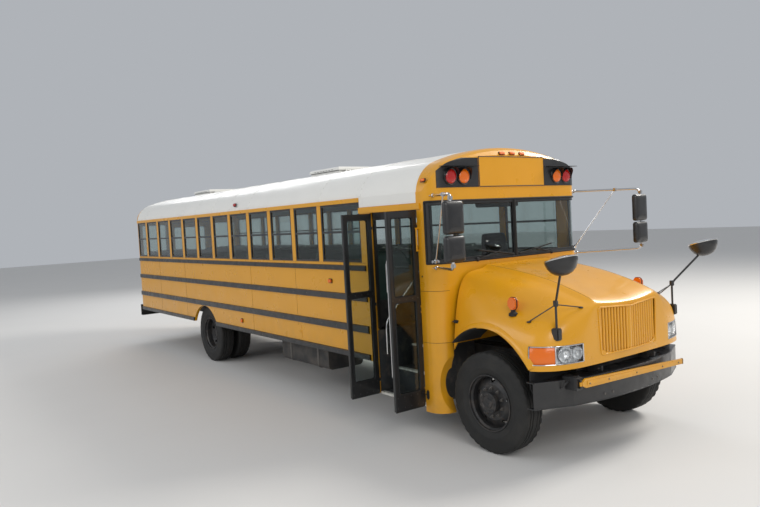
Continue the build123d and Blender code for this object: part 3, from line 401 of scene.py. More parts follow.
def baked(ob):
    # the object's mesh with its modifiers applied
    graph = bpy.context.evaluated_depsgraph_get()
    mesh = bpy.data.meshes.new_from_object(ob.evaluated_get(graph))
    ob.modifiers.clear()
    ob.data = mesh
    return ob


def smoothed(ob, levels):
    m = ob.modifiers.new("smooth", "SUBSURF")
    m.levels = m.render_levels = levels
    return baked(ob)


# Tyres: five tread ribs with cross cuts at the shoulders, and ringed side walls
TYRE_R = 0.508
TYRE_HALF = 0.127
RIM_R = 0.286
GROOVE_R = TYRE_R - 0.013
TWIN_GAP = 0.328
NUT_RING = 0.143
BOLT_RING = 0.088


def tyre_mesh():
    side = [(RIM_R, 0.103), (RIM_R + 0.012, 0.11), (RIM_R + 0.035, 0.12), (RIM_R + 0.06, 0.1245)]
    side += [(RIM_R + 0.064, 0.1262), (RIM_R + 0.072, 0.1262), (RIM_R + 0.076, 0.125),
        (RIM_R + 0.115, 0.1268)]
    side += [(RIM_R + 0.119, 0.1256), (RIM_R + 0.15, 0.124), (RIM_R + 0.176, 0.1205),
        (TYRE_R - 0.03, 0.118)]
    side += [(GROOVE_R, 0.111), (TYRE_R - 0.003, 0.1)]
    tread = []
    for y in (0.068, 0.031):
        tread += [(TYRE_R - 0.001, y + 0.004), (GROOVE_R, y + 0.002), (GROOVE_R, y - 0.004),
            (TYRE_R, y - 0.006)]
    tread = side[-1:] + tread
    half = side[:-1] + tread
    profile = half + [(r, -y) for r, y in reversed(half)]
    n = 108
    rings = []
    for k in range(n):
        a = 2 * pi * k / n
        ring = []
        for r, y in profile:
            on_tread = r > TYRE_R - 0.02
            cut = 0.01 if on_tread and abs(y) > 0.073 and k % 3 == 0 else 0.0
            wave = 0.0025 * (1 if (k // 2) % 2 else -1) if on_tread and abs(y) < 0.075 else 0.0
            ring.append(((r - cut) * cos(a), y + wave, (r - cut) * sin(a)))
        rings.append(ring)
    sheet(rings, around=True)
    return taken("tyre")


def tyres(name, body, node, spots):
    for x, y in spots:
        bm.from_mesh(TYRE_MESH)
        fresh = list(bm.verts)[-len(TYRE_MESH.vertices):]
        bmesh.ops.translate(bm, verts=fresh, vec=(x, y, TYRE_R))
    ob = done(name, TYRE, body, angle=24, flip=False)
    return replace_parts(ob, node)


def wheel_parts(name, body, x, y_face, y_hub, s):
    # ten nuts on the disc, the hub's flange with its bolts, and the valve
    ring = [2 * pi * (k + 0.5) / 10 for k in range(10)]
    nut = [(0.02, 0), (0.02, 0.004), (0.0155, 0.005), (0.0155, 0.018), (0.008, 0.021),
        (0.008, 0.032), (0, 0.033)]
    for a in ring:
        lathe(nut, (x + NUT_RING * cos(a), y_face, TYRE_R + NUT_RING * sin(a)), (0, s, 0), 6)
    done(name + "_nuts", NUT, body)
    cap = [(0.104, -0.004), (0.104, 0.006), (0.098, 0.01), (0.08, 0.01), (0.076, 0.004), (0.05, 0.004)]
    cap += [(0.046, 0.012), (0.02, 0.014), (0.016, 0.01), (0, 0.01)]
    lathe(cap, (x, y_hub, TYRE_R), (0, s, 0), 40)
    bolts = [2 * pi * k / 8 for k in range(8)]
    bolts = [(x + BOLT_RING * cos(a), y_hub + s * 0.01, TYRE_R + BOLT_RING * sin(a)) for a in bolts]
    studs(bolts, (0, s, 0), 0.009, 0.008)
    done(name + "_cap", RIM, body)
    tube([(x + 0.232, y_face - s * 0.02, TYRE_R + 0.06), (x + 0.222, y_face + s * 0.03, TYRE_R + 0.057)],
        0.005, 8)
    done(name + "_valve", CHROME, body)


TYRE_MESH = tyre_mesh()
TYRE_INSET = 0.074
TRACK = HALF - TYRE_INSET - TYRE_HALF
for side, s in SIDES:
    tyres("tyre_front_" + side, "front_wheel_" + side, "front_tyre_" + side, [(AX, s * TRACK)])
    tyres("tyres_rear_" + side, "rear_wheels_" + side, "rear_tyres_" + side,
        [(RA, s * TRACK), (RA, s * (TRACK - TWIN_GAP))])
    wheel_parts("front_wheel_" + side, "front_wheel_" + side, AX, s * (TRACK + 0.058),
        s * (TRACK + 0.11), s)
    wheel_parts("rear_wheel_" + side, "rear_wheels_" + side, RA, s * (TRACK - 0.056), s * TRACK, s)
    drum = [(0.02, -0.095), (0.205, -0.095), (0.212, -0.085), (0.212, -0.06), (0.205, -0.055),
        (0.205, 0.0), (0.15, 0.02), (0.02, 0.02)]
    lathe(drum, (AX, s * (TRACK + 0.02), TYRE_R), (0, s, 0), 40)
    done("brake_drum_front_" + side, CHASSIS, "front_wheel_" + side)

# Hood: a smooth skin over the same sections as the solid, with the same openings
HOOD = (
    # x, crown z, crease (in, z), shoulder (in, z), fender top (in, z), side (in, z), hem in
    (-0.555, 0.76, (0.719, 0.757), (0.349, 0.738), (0.24, 0.43), (0.172, 0.01), 0.159),
    (-0.31, 0.722, (0.719, 0.725), (0.372, 0.696), (0.19, 0.408), (0.086, 0.1), 0.09),
    (-0.06, 0.676, (0.719, 0.69), (0.394, 0.656), (0.166, 0.386), (0.052, 0.172), 0.049),
    (0.19, 0.622, (0.719, 0.642), (0.436, 0.606), (0.164, 0.368), (0.038, 0.165), 0.036),
    (0.4, 0.566, (0.719, 0.592), (0.474, 0.562), (0.172, 0.344), (0.04, 0.15), 0.031),
    (0.62, 0.486, (0.724, 0.518), (0.516, 0.486), (0.212, 0.3), (0.06, 0.124), 0.037),
    (0.8, 0.42, (0.729, 0.456), (0.566, 0.42), (0.318, 0.268), (0.232, 0.118), 0.222),
    (0.852, 0.372, (0.732, 0.408), (0.615, 0.366), (0.535, 0.18), (0.508, 0.074), 0.5),
)
HOOD_X = AX + 0.85
HEM = FLOOR - 0.16
NOSE_Y = HALF - 0.732
ARCH_R = 0.672
ARCH_Z = 0.59
GRILLE_LOW = FLOOR - 0.09
GRILLE_TOP = FLOOR + 0.376
BULGE = 0.03


def hood_cage():
    # coarse form of the hood with the sharpness of each edge, for subdivision
    crease = bm.edges.layers.float.new("crease_edge")
    rows = []
    for x, zc, c, sh, ft, sd, hem in HOOD:
        band = (HALF - c[0] + 0.085, c[1] - 0.04)
        half = [(HALF - hem, HEM - FLOOR), (HALF - sd[0], sd[1]), (HALF - ft[0], ft[1]),
            (HALF - sh[0], sh[1] - 0.032), band, (HALF - c[0], c[1])]
        line = [(-y, z) for y, z in half] + [(0, zc)] + [(y, z) for y, z in reversed(half)]
        rows.append([bm.verts.new((AX + x, y, FLOOR + z)) for y, z in line])
    bridge(rows, closed=False)
    nose = rows[-1]
    nose[6].co.x += BULGE
    low = bm.verts.new((HOOD_X + BULGE, 0, HEM))
    y0, y1 = NOSE_Y - 0.032, NOSE_Y - 0.007
    hole = [(-y0, 0.0), (-y0 - 0.008, 0.3), (-y0 - 0.012, 0.52), (-y0 - 0.016, 0.72), (-y0 - 0.02, 0.88),
        (-y1, 1.0), (0, 1.0)]
    ring = []
    for y, f in hole + [(-y, f) for y, f in reversed(hole[:-1])]:
        z = GRILLE_LOW + f * (GRILLE_TOP - GRILLE_LOW) - (0.034 if y == 0 else 0)
        ring.append(bm.verts.new((HOOD_X + 0.004 + (BULGE if y == 0 else 0), y, z)))
    mid = bm.verts.new((HOOD_X + 0.004 + BULGE, 0, GRILLE_LOW))
    outer = nose + [low]
    inner = ring + [mid]
    bridge([outer, inner])
    bm.edges.ensure_lookup_table()
    sharp = {}
    for a, b in zip(inner, inner[1:] + inner[:1]):
        sharp[frozenset((a, b))] = 1.0
    for a, b in zip(outer, outer[1:] + outer[:1]):
        sharp[frozenset((a, b))] = 0.35
    for j, w in ((4, 0.35), (5, 0.85), (7, 0.85), (8, 0.35)):
        for a, b in zip(rows, rows[1:]):
            sharp[frozenset((a[j], b[j]))] = w
    for e in bm.edges:
        e[crease] = sharp.get(frozenset(e.verts), 0.0)
        if e.is_boundary:
            e[crease] = 1.0
    return taken("hood_cage")


def carve(ob):
    # cuts the shape at hand out of the object
    cut = linked("cut", taken("cut"))
    m = ob.modifiers.new("cut", "BOOLEAN")
    m.operation = "DIFFERENCE"
    m.solver = "EXACT"
    m.object = cut
    baked(ob)
    bpy.data.objects.remove(cut)


skin = smoothed(linked("hood_skin", hood_cage()), 3)
SKIN = BVHTree.FromObject(skin, bpy.context.evaluated_depsgraph_get())


def on_skin(p, d):
    # the hood's surface from p along d
    return SKIN.ray_cast(Vector(p), Vector(d))


m = skin.modifiers.new("thick", "SOLIDIFY")
m.thickness = 0.016
m.offset = -1
baked(skin)
for s in (-1, 1):
    lathe([(0, 0), (ARCH_R, 0), (ARCH_R, 0.5), (0, 0.5)], (AX, s * 0.93, ARCH_Z), (0, s, 0), 72)
    carve(skin)
LAMP_X0, LAMP_Y0 = HOOD_X - 0.29, HALF - 0.514
LAMP_Z0, LAMP_Z1 = FLOOR - 0.109, FLOOR + 0.068
for s in (-1, 1):
    block((LAMP_X0, s * LAMP_Y0, LAMP_Z0), (HOOD_X + 0.1, s * 1.4, LAMP_Z1))
    carve(skin)
mesh = skin.data
bpy.data.objects.remove(skin)
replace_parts(piece(mesh, "hood_shell", YELLOW, "hood", angle=38), "hood")

# Flange round each front wheel opening, laid on the hood's skin
for side, s in SIDES:
    rows = []
    for k in range(61):
        a = radians(30.5 + 107.0 * k / 60)
        row = []
        for grow, out in ((-0.004, -0.014), (-0.004, 0.01), (0.004, 0.016), (0.026, 0.013),
                (0.046, 0.006), (0.06, -0.003)):
            r = ARCH_R + max(grow, 0.001)
            spot = (AX + r * cos(a), s * 1.6, ARCH_Z + r * sin(a))
            hit = on_skin(spot, (0, -s, 0))[0]
            lean = V(cos(a) * grow, 0, sin(a) * grow) if grow < 0 else Vector()
            row.append(hit + V(0, s * out, 0) + lean)
        rows.append(row)
    sheet(rows)
    done("arch_flange_" + side, YELLOW, "hood", angle=60)

# Grille: two halves of upright bars that meet at a centre ridge
def nose_x(y):
    return HOOD_X + BULGE * (1 - abs(y) / NOSE_Y)


def grille_top(y):
    return GRILLE_TOP - 0.034 * (1 - abs(y) / NOSE_Y)


def bar(y, w, x0, z0, z1):
    x = nose_x(y) - 0.002
    plan = [(x0, -w / 2), (x - 0.008, -w / 2), (x - 0.002, -w * 0.32), (x, 0), (x - 0.002, w * 0.32),
        (x - 0.008, w / 2), (x0, w / 2)]
    loft([[(px, y + py, z) for px, py in plan] for z in (z0, z1)], (0, 1))


for i in range(-10, 11):
    y = i * 0.0435
    bar(y, 0.052 if i == 0 else 0.029, HOOD_X - 0.03, GRILLE_LOW - 0.008, grille_top(y) + 0.01)
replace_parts(done("grille_bars", YELLOW, "hood", angle=30), "grille")
for s in (-1, 1):
    low, high = s * (NOSE_Y - 0.034), s * (NOSE_Y - 0.01)
    loop = [(0.003, GRILLE_LOW), (low, GRILLE_LOW), (high, GRILLE_TOP - 0.006),
        (0.003 * s, GRILLE_TOP - 0.036)]
    tube(bent([(nose_x(y) + 0.003, y, z) for y, z in loop], 0.03), 0.009, 8)
done("grille_frame", YELLOW, "hood")
# Screen behind the bars: a dark sheet whose golden-brown tone is partly painted shade of the slots
for s in (-1, 1):
    half = ((0, GRILLE_LOW - 0.03), (s * 0.47, GRILLE_LOW - 0.03), (s * 0.48, GRILLE_TOP + 0.01),
        (0, GRILLE_TOP - 0.05))
    bm.faces.new(verts((HOOD_X - 0.045, y, z) for y, z in half))
done("grille_screen", SCREEN_SHADE, "hood")

# Headlamps: clear main lens and amber turn lens in a bright bezel that follows the fender

def lamp_row(s, z, a0, a1, n, inset):
    # points on the fender's face from the grille side round to the wheel side
    row = []
    for k in range(n + 1):
        a = radians(a0 + (a1 - a0) * k / n)
        d = V(cos(a), s * sin(a), 0)
        hit = on_skin((AX + 0.35, s * 0.62, z), d)[0]
        row.append(hit - d * inset)
    return row


LAMP_A = (10.5, 43.0, 67.5)
for side, s in SIDES:
    lenses = (("lens_clear", LAMP_A[0], LAMP_A[1], LENS), ("lens_amber", LAMP_A[1], LAMP_A[2], AMBER))
    for name, a0, a1, mat in lenses:
        rows = []
        for f in (0.0, 0.12, 0.3, 0.5, 0.7, 0.88, 1.0):
            z = LAMP_Z0 + 0.008 + f * (LAMP_Z1 - LAMP_Z0 - 0.016)
            inset = 0.004 + 0.01 * (2 * f - 1) ** 4
            rows.append(lamp_row(s, z, a0 + 0.6, a1 - 0.6, 18, inset))
        sheet(rows)
        ob = done(name + "_" + side, mat, "hood", angle=60)
        if mat is AMBER:
            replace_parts(ob, "headlamps")
    for a0, a1 in (LAMP_A[:2], LAMP_A[1:]):
        low = lamp_row(s, LAMP_Z0 + 0.006, a0, a1, 16, 0.002)
        high = lamp_row(s, LAMP_Z1 - 0.006, a0, a1, 16, 0.002)
        tube(low + high[::-1] + low[:1], 0.006, 8)
    done("lamp_bezel_" + side, CHROME, "hood")
    tray = ((LAMP_Z0 + 0.004, 0.006), (LAMP_Z0 + 0.01, 0.07), (LAMP_Z1 - 0.01, 0.07),
        (LAMP_Z1 - 0.004, 0.006))
    sheet([lamp_row(s, z, LAMP_A[0], LAMP_A[2], 24, inset) for z, inset in tray])
    done("lamp_housing_" + side, REFLECTOR, "hood", angle=60)
    for a, r in ((18.0, 0.06), (33.0, 0.074)):
        face = lamp_row(s, (LAMP_Z0 + LAMP_Z1) / 2, a, a + 1, 1, 0.03)[0]
        d = V(cos(radians(a * 0.7)), s * sin(radians(a * 0.7)), 0)
        lathe([(r, 0.012), (r * 0.97, 0.004), (r * 0.8, -0.012), (r * 0.5, -0.026), (r * 0.16, -0.034),
            (0.01, -0.034), (0.01, -0.01), (0, -0.006)], face, d, 28)
    done("lamp_bowls_" + side, REFLECTOR, "hood")

    # Amber fender lamp on its black foot
    top = on_skin((AX + 0.3, s * 1.04, 3.0), (0, 0, -1))[0]
    lathe([(0.045, -0.02), (0.045, 0.006), (0.036, 0.012), (0.024, 0.018), (0.022, 0.042), (0, 0.042)],
        top, UP, 20)
    done("fender_lamp_foot_" + side, RUBBER, "hood")
    middle = top + V(0, 0, 0.1)
    plate(rounded(0.096, 0.118, 0.034, 5), middle - V(0, 0.026, 0), FORE, UP, -0.052, 0.012)
    done("fender_lamp_" + side, AMBER, "hood", angle=50)
    plate(rounded(0.104, 0.126, 0.037, 5), middle - V(0, 0.006, 0), FORE, UP, -0.012, 0.003)
    done("fender_lamp_band_" + side, RUBBER, "hood", angle=50)

    # Rubber hood latch at the rear edge and the pull handle ahead of it
    hit = on_skin((AX - 0.52, s * 1.6, FLOOR + 0.19), (0, -s, 0))[0]
    plate(rounded(0.075, 0.034, 0.012, 3), hit + V(0, s * 0.001, 0), FORE, UP, -s * 0.014, 0.004)
    tube(bent([hit + V(0.03, s * 0.012, 0.004), hit + V(-0.01, s * 0.026, 0.004),
        hit + V(-0.055, s * 0.01, -0.004)], 0.02), 0.007, 8)
    done("hood_latch_" + side, RUBBER, "hood")

# Crossover mirrors: bowl on a post with two thin legs each side
for side, s in SIDES:
    foot = on_skin((AX + 0.755, s * 0.967, 3.0), (0, 0, -1))[0]
    knee = V(AX + 0.755, s * 0.967, FLOOR + 0.46)
    bowl = V(AX + 1.0, s * 1.175, FLOOR + 0.885)
    tube(bent([foot + V(0, 0, 0.02), knee, bowl + V(-0.03, -s * 0.026, -0.13)], 0.05), 0.011, 12)
    for dx, dy in ((-0.255, 0.083), (0.03, -0.322)):
        spot = on_skin((knee.x + dx, s * (0.967 + dy), 3.0), (0, 0, -1))[0]
        tube([knee + V(0, 0, -0.012), spot + V(0, 0, 0.004)], 0.0055, 8)
        lathe([(0.022, -0.004), (0.022, 0.005), (0.01, 0.01), (0, 0.01)], spot, UP, 12)
    lathe([(0.02, -0.03), (0.024, -0.024), (0.024, 0.02), (0.02, 0.026), (0.0, 0.026)], knee, UP, 14)
    block(foot + V(-0.042, -0.032, -0.05), foot + V(0.038, 0.032, 0.062), 0.009)
    block(foot + V(-0.09, -0.014, -0.005), foot + V(-0.04, 0.014, 0.045), 0.006)
    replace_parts(done("crossover_post_" + side, BLACK, "hood"), "crossover_mirrors")
    axis = V(-0.26, 0, 1).normalized()
    shell = [(0, -0.146), (0.04, -0.143), (0.078, -0.127), (0.11, -0.1), (0.132, -0.064), (0.144, -0.026),
        (0.146, -0.002), (0.141, 0.0)]
    lathe(shell, bowl, axis, 36)
    done("crossover_bowl_" + side, BLACK, "hood", angle=50)
    lathe([(0.1445, -0.008), (0.149, -0.004), (0.149, 0.002), (0.144, 0.005), (0.138, 0.002)], bowl,
        axis, 36, loop=True)
    done("crossover_rim_" + side, CHROME, "hood", angle=50)
    lathe([(0.139, -0.002), (0.12, 0.008), (0.085, 0.017), (0.045, 0.022), (0, 0.024)], bowl, axis, 36)
    done("crossover_glass_" + side, MIRROR, "hood", angle=60)

# Dark liner inside each front wheel opening
for side, s in SIDES:
    rows = []
    for k in range(33):
        a = radians(32 + 103 * k / 32)
        r = ARCH_R - 0.006
        ring = [(r, s * 0.74), (r, s * 0.98), (r, s * 1.14), (r + 0.012, s * 1.148)]
        rows.append([(AX + q * cos(a), y, ARCH_Z + q * sin(a)) for q, y in ring])
    sheet(rows)
    done("arch_liner_" + side, RUBBER, "hood", angle=60)

# Seam lines on the cowl, dark as painted shade of each seam, its catches, and the wipers parked under the
# windshield
NOSE_X = AX - 0.602
NOSE_R, NOSE_BOW, NOSE_SIDE = 0.2, 0.027, 0.143


def nose_line(z, out, y0=0.0, y1=1.0, n=40):
    # points round the front of the body at one height; y0 and y1 are shares of its half
    pts = []
    r, face = NOSE_R, NOSE_X
    flat, arc = HALF - r, r * pi / 2
    for k in range(n + 1):
        f = y0 + (y1 - y0) * k / n
        run = f * (flat + arc + NOSE_SIDE)
        if run < flat:
            x = face + NOSE_BOW * (1 - (run / flat) ** 2)
            pts.append((x + out, run, z))
        elif run < flat + arc:
            a = (run - flat) / r
            pts.append((face - r + (r + out) * cos(a), flat + (r + out) * sin(a), z))
        else:
            pts.append((face - r - (run - flat - arc), HALF + out, z))
    return pts


def mirrored(pts, s):
    return [(x, s * y, z) for x, y, z in pts]


def both_sides(pts, r, n):
    # round bar along a line, and again on the other side
    for s in (-1, 1):
        tube(mirrored(pts, s), r, n)


for side, s in SIDES:
    for z in (1.598, 1.041):
        tube(mirrored(nose_line(z, 0.0, 0.7, 0.945), s), 0.0022, 6)
    done("cowl_seams_" + side, SEAM_SHADE)
    catch = AX - 0.822
    if s < 0:
        block((catch - 0.02, s * (HALF - 0.01), 0.415), (catch + 0.02, s * (HALF + 0.018), 0.52), 0.012)
        tube([(catch - 0.012, s * (HALF + 0.01), 0.47), (catch - 0.04, s * (HALF + 0.01), 0.47)],
            0.006, 8)
        studs([(catch, s * (HALF + 0.017), z) for z in (0.44, 0.495)], (0, s, 0), 0.007, 0.006)
    studs([(catch, s * (HALF - 0.0005), 1.757)], (0, s, 0), 0.011, 0.008)
    done("cowl_catch_" + side, RUBBER)
    base = V(NOSE_X + 0.02, s * 0.62, SILL + 0.01)
    lathe([(0.022, -0.02), (0.022, 0.018), (0.012, 0.026), (0, 0.026)], base, (1, 0, 0.3), 14)
    tube([base + V(0.018, 0, 0), base + V(0.03, -s * 0.2, 0.045), base + V(0.024, -s * 0.34, 0.075)],
        0.0065, 8)
    blade = [V(NOSE_X + 0.034 + 0.01 * (1 - abs(f)), s * (0.33 + 0.31 * f), SILL + 0.075 + 0.045 * f)
        for f in (-0.9, -0.5, 0, 0.5, 0.9)]
    tube(blade, 0.008, 6)
    tube([p - V(0.01, 0, 0.006) for p in blade], 0.004, 6)
    done("wiper_" + side, RUBBER)

# Rubber gasket round the windshield and its centre strip
for z in (SILL + 0.006, EAVE - 0.096):
    both_sides(nose_line(z, 0.002, 0.0, 0.864, 60), 0.011, 8)
for z in (SILL + 0.042, EAVE - 0.132):
    both_sides(nose_line(z, -0.01, 0.02, 0.835, 60), 0.007, 8)
x, y, z = nose_line(SILL, 0.002, 0.864, 0.864, 1)[0]
both_sides([(x, y, SILL), (x, y, EAVE - 0.09)], 0.01, 8)
tube([(NOSE_X + 0.03, 0, SILL + 0.004), (NOSE_X + 0.03, 0, EAVE - 0.094)], 0.014, 8, squash=0.6)
done("windshield_gasket", RUBBER)

# Front cap: bare sign panel in a thin frame, warning lamps in black rings under visors
LAMP_Z = (EAVE - 0.09 + ROOF) / 2 - 0.04
LAMP_R = 0.08
RED_Y, AMBER_Y, REAR_LAMP_Y = 0.955, 0.77, 0.979
HALF_RUN = 1.476


def front_x(y, out=0.006):
    # how far forward a thing on the front cap stands, at one distance from the middle
    return nose_line(0, out, y / HALF_RUN, y / HALF_RUN, 1)[0][0]


sign_low, sign_high, sign_y = EAVE + 0.05, ROOF - 0.12, 0.538
for z in (sign_low, sign_high):
    both_sides(nose_line(z, 0.006, 0.0, sign_y / HALF_RUN, 24), 0.005, 6)
x = front_x(sign_y)
both_sides([(x, sign_y, sign_low), (x, sign_y, sign_high)], 0.005, 6)
done("sign_frame", BLACK)


def lamp(name, p, axis, r, mat, deep=0.022, hood=0.0, ring=BLACK):
    # round lamp: ribbed dome lens in a raised ring, with a visor over it where hood is its length
    p, axis = Vector(p), Vector(axis)
    steps = enumerate((0.985, 0.93, 0.85, 0.75, 0.63, 0.5, 0.36, 0.2))
    lens = [(r * f, deep * sqrt(1 - f * f) + 0.0012 * (i % 2)) for i, f in steps]
    lathe([(r, -0.004)] + lens + [(0, deep)], p + axis * 0.004, axis, 28)
    done(name + "_lens", mat, angle=20)
    lathe([(r + 0.014, -0.012), (r + 0.014, 0.008), (r + 0.008, 0.013), (r, 0.01), (r, -0.012)], p,
        axis, 28, loop=True)
    if hood:
        side = axis.cross(UP).normalized()
        rows = []
        for f in (0.0, 0.5, 1.0):
            row = []
            for k in range(17):
                a = pi * (-0.12 + 1.24 * k / 16)
                reach = hood * f * (0.25 + 0.75 * max(0.0, sin(a)))
                row.append(p + axis * (0.004 + reach) + (r + 0.012) * (cos(a) * side + sin(a) * UP))
            rows.append(row)
        sheet(rows)
    return done(name + "_ring", ring, angle=40)


x_red, x_amber = front_x(RED_Y, 0.008), front_x(AMBER_Y, 0.008)
for side, s in SIDES:
    ob = lamp("warning_red_front_" + side, (x_red, s * RED_Y, LAMP_Z), FORE, LAMP_R, RED, 0.026, 0.085)
    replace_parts(ob, "warning_lamps")
    lamp("warning_amber_front_" + side, (x_amber, s * AMBER_Y, LAMP_Z), FORE, LAMP_R, AMBER, 0.026, 0.085)
    warning = ((RED, RED_Y, LAMP_Z, LAMP_R), (AMBER, AMBER_Y, LAMP_Z, LAMP_R))
    tail = ((RED, REAR_LAMP_Y, SILL - 0.19, 0.082), (AMBER, REAR_LAMP_Y, FLOOR + 0.16, 0.052))
    for mat, y, z, r in warning + tail:
        kind = "rear_%s_%d_%s" % (mat.m.name, int(z * 1000), side)
        lamp(kind, (RX - 0.006, s * y, z), (-1, 0, 0), r, mat, 0.022, 0.075 if z > 2.5 else 0.0)


def marker(name, p, normal, mat, w=0.075, h=0.034):
    # small oblong clearance lamp on a dark base
    n = Vector(normal).normalized()
    u = V(0, 1, 0) if abs(n.y) < 0.6 else FORE
    u = (u - n * u.dot(n)).normalized()
    v = n.cross(u)
    plate(rounded(w + 0.014, h + 0.014, 0.012, 3), Vector(p), u, v, 0.006, 0.0015)
    done(name + "_base", RUBBER)
    plate(rounded(w, h, 0.012, 3), Vector(p) + n * 0.006, u, v, 0.018, 0.006)
    done(name, mat, angle=50)


for i, y in enumerate((-0.165, 0.0, 0.165)):
    z = ROOF - 0.075 + 0.012 * (1 - abs(y))
    marker("clearance_front_%d" % i, (NOSE_X + 0.016, y, z - 0.02), (1, 0, 0.35), AMBER, 0.082, 0.03)
    marker("clearance_rear_%d" % i, (RX + 0.004, y, ROOF - 0.128), (-1, 0, 0.3), RED, 0.082, 0.03)
for side, s in SIDES:
    for name, x, out, z, lean, mat, w, h in (
            ("side_front_", 0.745, -0.012, 2.785, (0.05, 0.32), AMBER, 0.07, 0.03),
            ("side_roof_", 5.45, -0.006, 2.762, (0, 0.22), RED, 0.075, 0.045),
            ("side_middle_", 2.679, 0.001, 1.64, (0, 0), AMBER, 0.075, 0.045),
            ("side_reflector_", 5.441, 0.001, 0.885, (0, 0), AMBER, 0.06, 0.06)):
        marker(name + side, (AX - x, s * (HALF + out), z), (lean[0], s, lean[1]), mat, w, h)

# Outside mirrors: bent tube frame on clamped feet, with two heads each side
MIR_X = AX + 0.04
MIR_Y = HALF + 0.333
for side, s in SIDES:
    fx, fy = AX - 0.662, s * (HALF - 0.06)
    top, up = V(fx, fy, HEAD), V(MIR_X, s * MIR_Y, HEAD - 0.019)
    down, low = V(MIR_X, s * MIR_Y, SILL - 0.008), V(fx, fy, SILL - 0.04)
    tube(bent([top, up, down, low], 0.075, 8), 0.0145, 12)
    knee, heel = top.lerp(up, 0.64), V(fx, fy, SILL + 0.016)
    tube([knee, heel], 0.008, 10)
    out = V(0.707, s * 0.707, 0)
    across = V(-0.707 * s, 0.707, 0)
    for p, far in ((top, up), (low, down), (heel, knee)):
        run = (far - p).normalized()
        lathe([(0.013, 0.0), (0.021, 0.0), (0.021, 0.034), (0.016, 0.04), (0.012, 0.04)],
            p + run * 0.006, run, 14)
        plate(rounded(0.085, 0.06, 0.014, 3), p - out * 0.003, across, UP, 0.01 * s, 0.003)
        studs([p + out * 0.008 + across * d for d in (-0.03, 0.03)], out, 0.007, 0.006)
    for p in (knee, up.lerp(down, 0.055), up.lerp(down, 0.6), up.lerp(down, 0.95)):
        block(p - V(0.02, 0.02, 0.02), p + V(0.02, 0.02, 0.02), 0.006)
        studs([p + V(0.02, 0, 0)], FORE, 0.008, 0.007)
    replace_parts(done("mirror_arms_" + side, CHROME), "side_mirrors")
    for kind, z0, z1, bow in (("flat", HEAD - 0.404, HEAD - 0.086, 0.001), ("round", SILL + 0.062,
            SILL + 0.314, 0.01)):
        mid = V(MIR_X, s * (MIR_Y - 0.026), (z0 + z1) / 2)
        w, h = 0.246, z1 - z0
        rows = []
        shape = ((-0.012, 0.012), (-0.019, 0.01), (-0.02, 0.004), (-0.012, 0.0), (0.008, 0.0),
            (0.022, 0.004), (0.032, 0.016), (0.038, 0.036), (0.042, 0.07))
        for dx, cut in shape:
            outline = rounded(w - 2 * cut, h - 2 * cut, max(0.03 - cut * 0.5, 0.01), 5)
            rows.append([mid + V(dx, a, b) for a, b in outline])
        loft(rows, (-1,))
        studs([mid + V(0.036, s * d, 0.0) for d in (-0.05, 0.05)], FORE, 0.007, 0.006)
        done("mirror_head_%s_%s" % (kind, side), BLACK, angle=40)
        rows = []
        for f in (1.0, 0.8, 0.55, 0.3):
            outline = rounded((w - 0.022) * f, (h - 0.022) * f, 0.024 * f, 5)
            rows.append([mid + V(-0.013 - bow * (1 - f * f), a, b) for a, b in outline])
        loft(rows, (-1,))
        done("mirror_face_%s_%s" % (kind, side), MIRROR, angle=60)

# Crossing arm: raised rib, bolts and rubber tip, with its actuator's cover on the bumper
ARM_X, ARM_Y, ARM_Z = AX + 0.915, -0.86, 0.795
a, b = ARM_Y + 0.075, ARM_Y + 1.66
rib = [(a, ARM_Z - 0.02), (b, ARM_Z - 0.08), (b, ARM_Z - 0.052), (a, ARM_Z + 0.02)]
plate(rib, (ARM_X + 0.0135, 0, 0), (0, 1, 0), UP, 0.005, 0.002)
done("crossing_arm_rib", YELLOW, "crossing_arm")
spots = [V(ARM_X + 0.0185, ARM_Y + d, ARM_Z - 0.004 - 0.038 * d) for d in (0.11, 0.4, 0.85, 1.3, 1.6)]
studs(spots, FORE, 0.0085, 0.007)
block((ARM_X - 0.01, HALF - 0.398, ARM_Z - 0.096), (ARM_X + 0.018, HALF - 0.379, ARM_Z - 0.035), 0.006)
done("crossing_arm_bolts", NUT, "crossing_arm")
block((ARM_X - 0.16, ARM_Y - 0.038, ARM_Z + 0.04), (ARM_X - 0.026, ARM_Y + 0.038, ARM_Z + 0.066), 0.007)
studs([(ARM_X - d, ARM_Y + e, ARM_Z + 0.065) for d in (0.145, 0.045) for e in (-0.026, 0.026)],
    UP, 0.006, 0.005)
tube(bent([(ARM_X - 0.1, ARM_Y - 0.038, ARM_Z + 0.02), (ARM_X - 0.1, ARM_Y - 0.075, ARM_Z + 0.01),
    (ARM_X - 0.16, ARM_Y - 0.085, ARM_Z - 0.05)], 0.03), 0.006, 8)
done("crossing_arm_cover", BLACK)

# Front bumper: carriage bolts and rolled lips
BEND_Y, BEND_DEEP = 0.822, 0.097
BEND_R = (BEND_Y ** 2 + BEND_DEEP ** 2) / (2 * BEND_DEEP)


def bumper_x(y):
    # the bumper's face at one distance from the middle
    y = abs(y)
    if y < BEND_Y:
        return AX + 0.9 - BEND_R + sqrt(BEND_R ** 2 - y * y)
    return AX + 0.803 - (y - BEND_Y) * 0.163 / (HALF - 0.029 - BEND_Y)


for s in (-1, 1):
    for y in (0.335, 0.445):
        for z in (0.625, 0.745):
            studs([(bumper_x(y) - 0.001, s * y, z)], FORE, 0.014, 0.008, 10)
done("bumper_bolts", NUT)
for z in (0.571, 0.814):
    ys = [-1.186 + 2.372 * k / 60 for k in range(61)]
    tube([(bumper_x(y) - 0.002, y, z) for y in ys], 0.006, 8)
done("bumper_lips", BLACK)


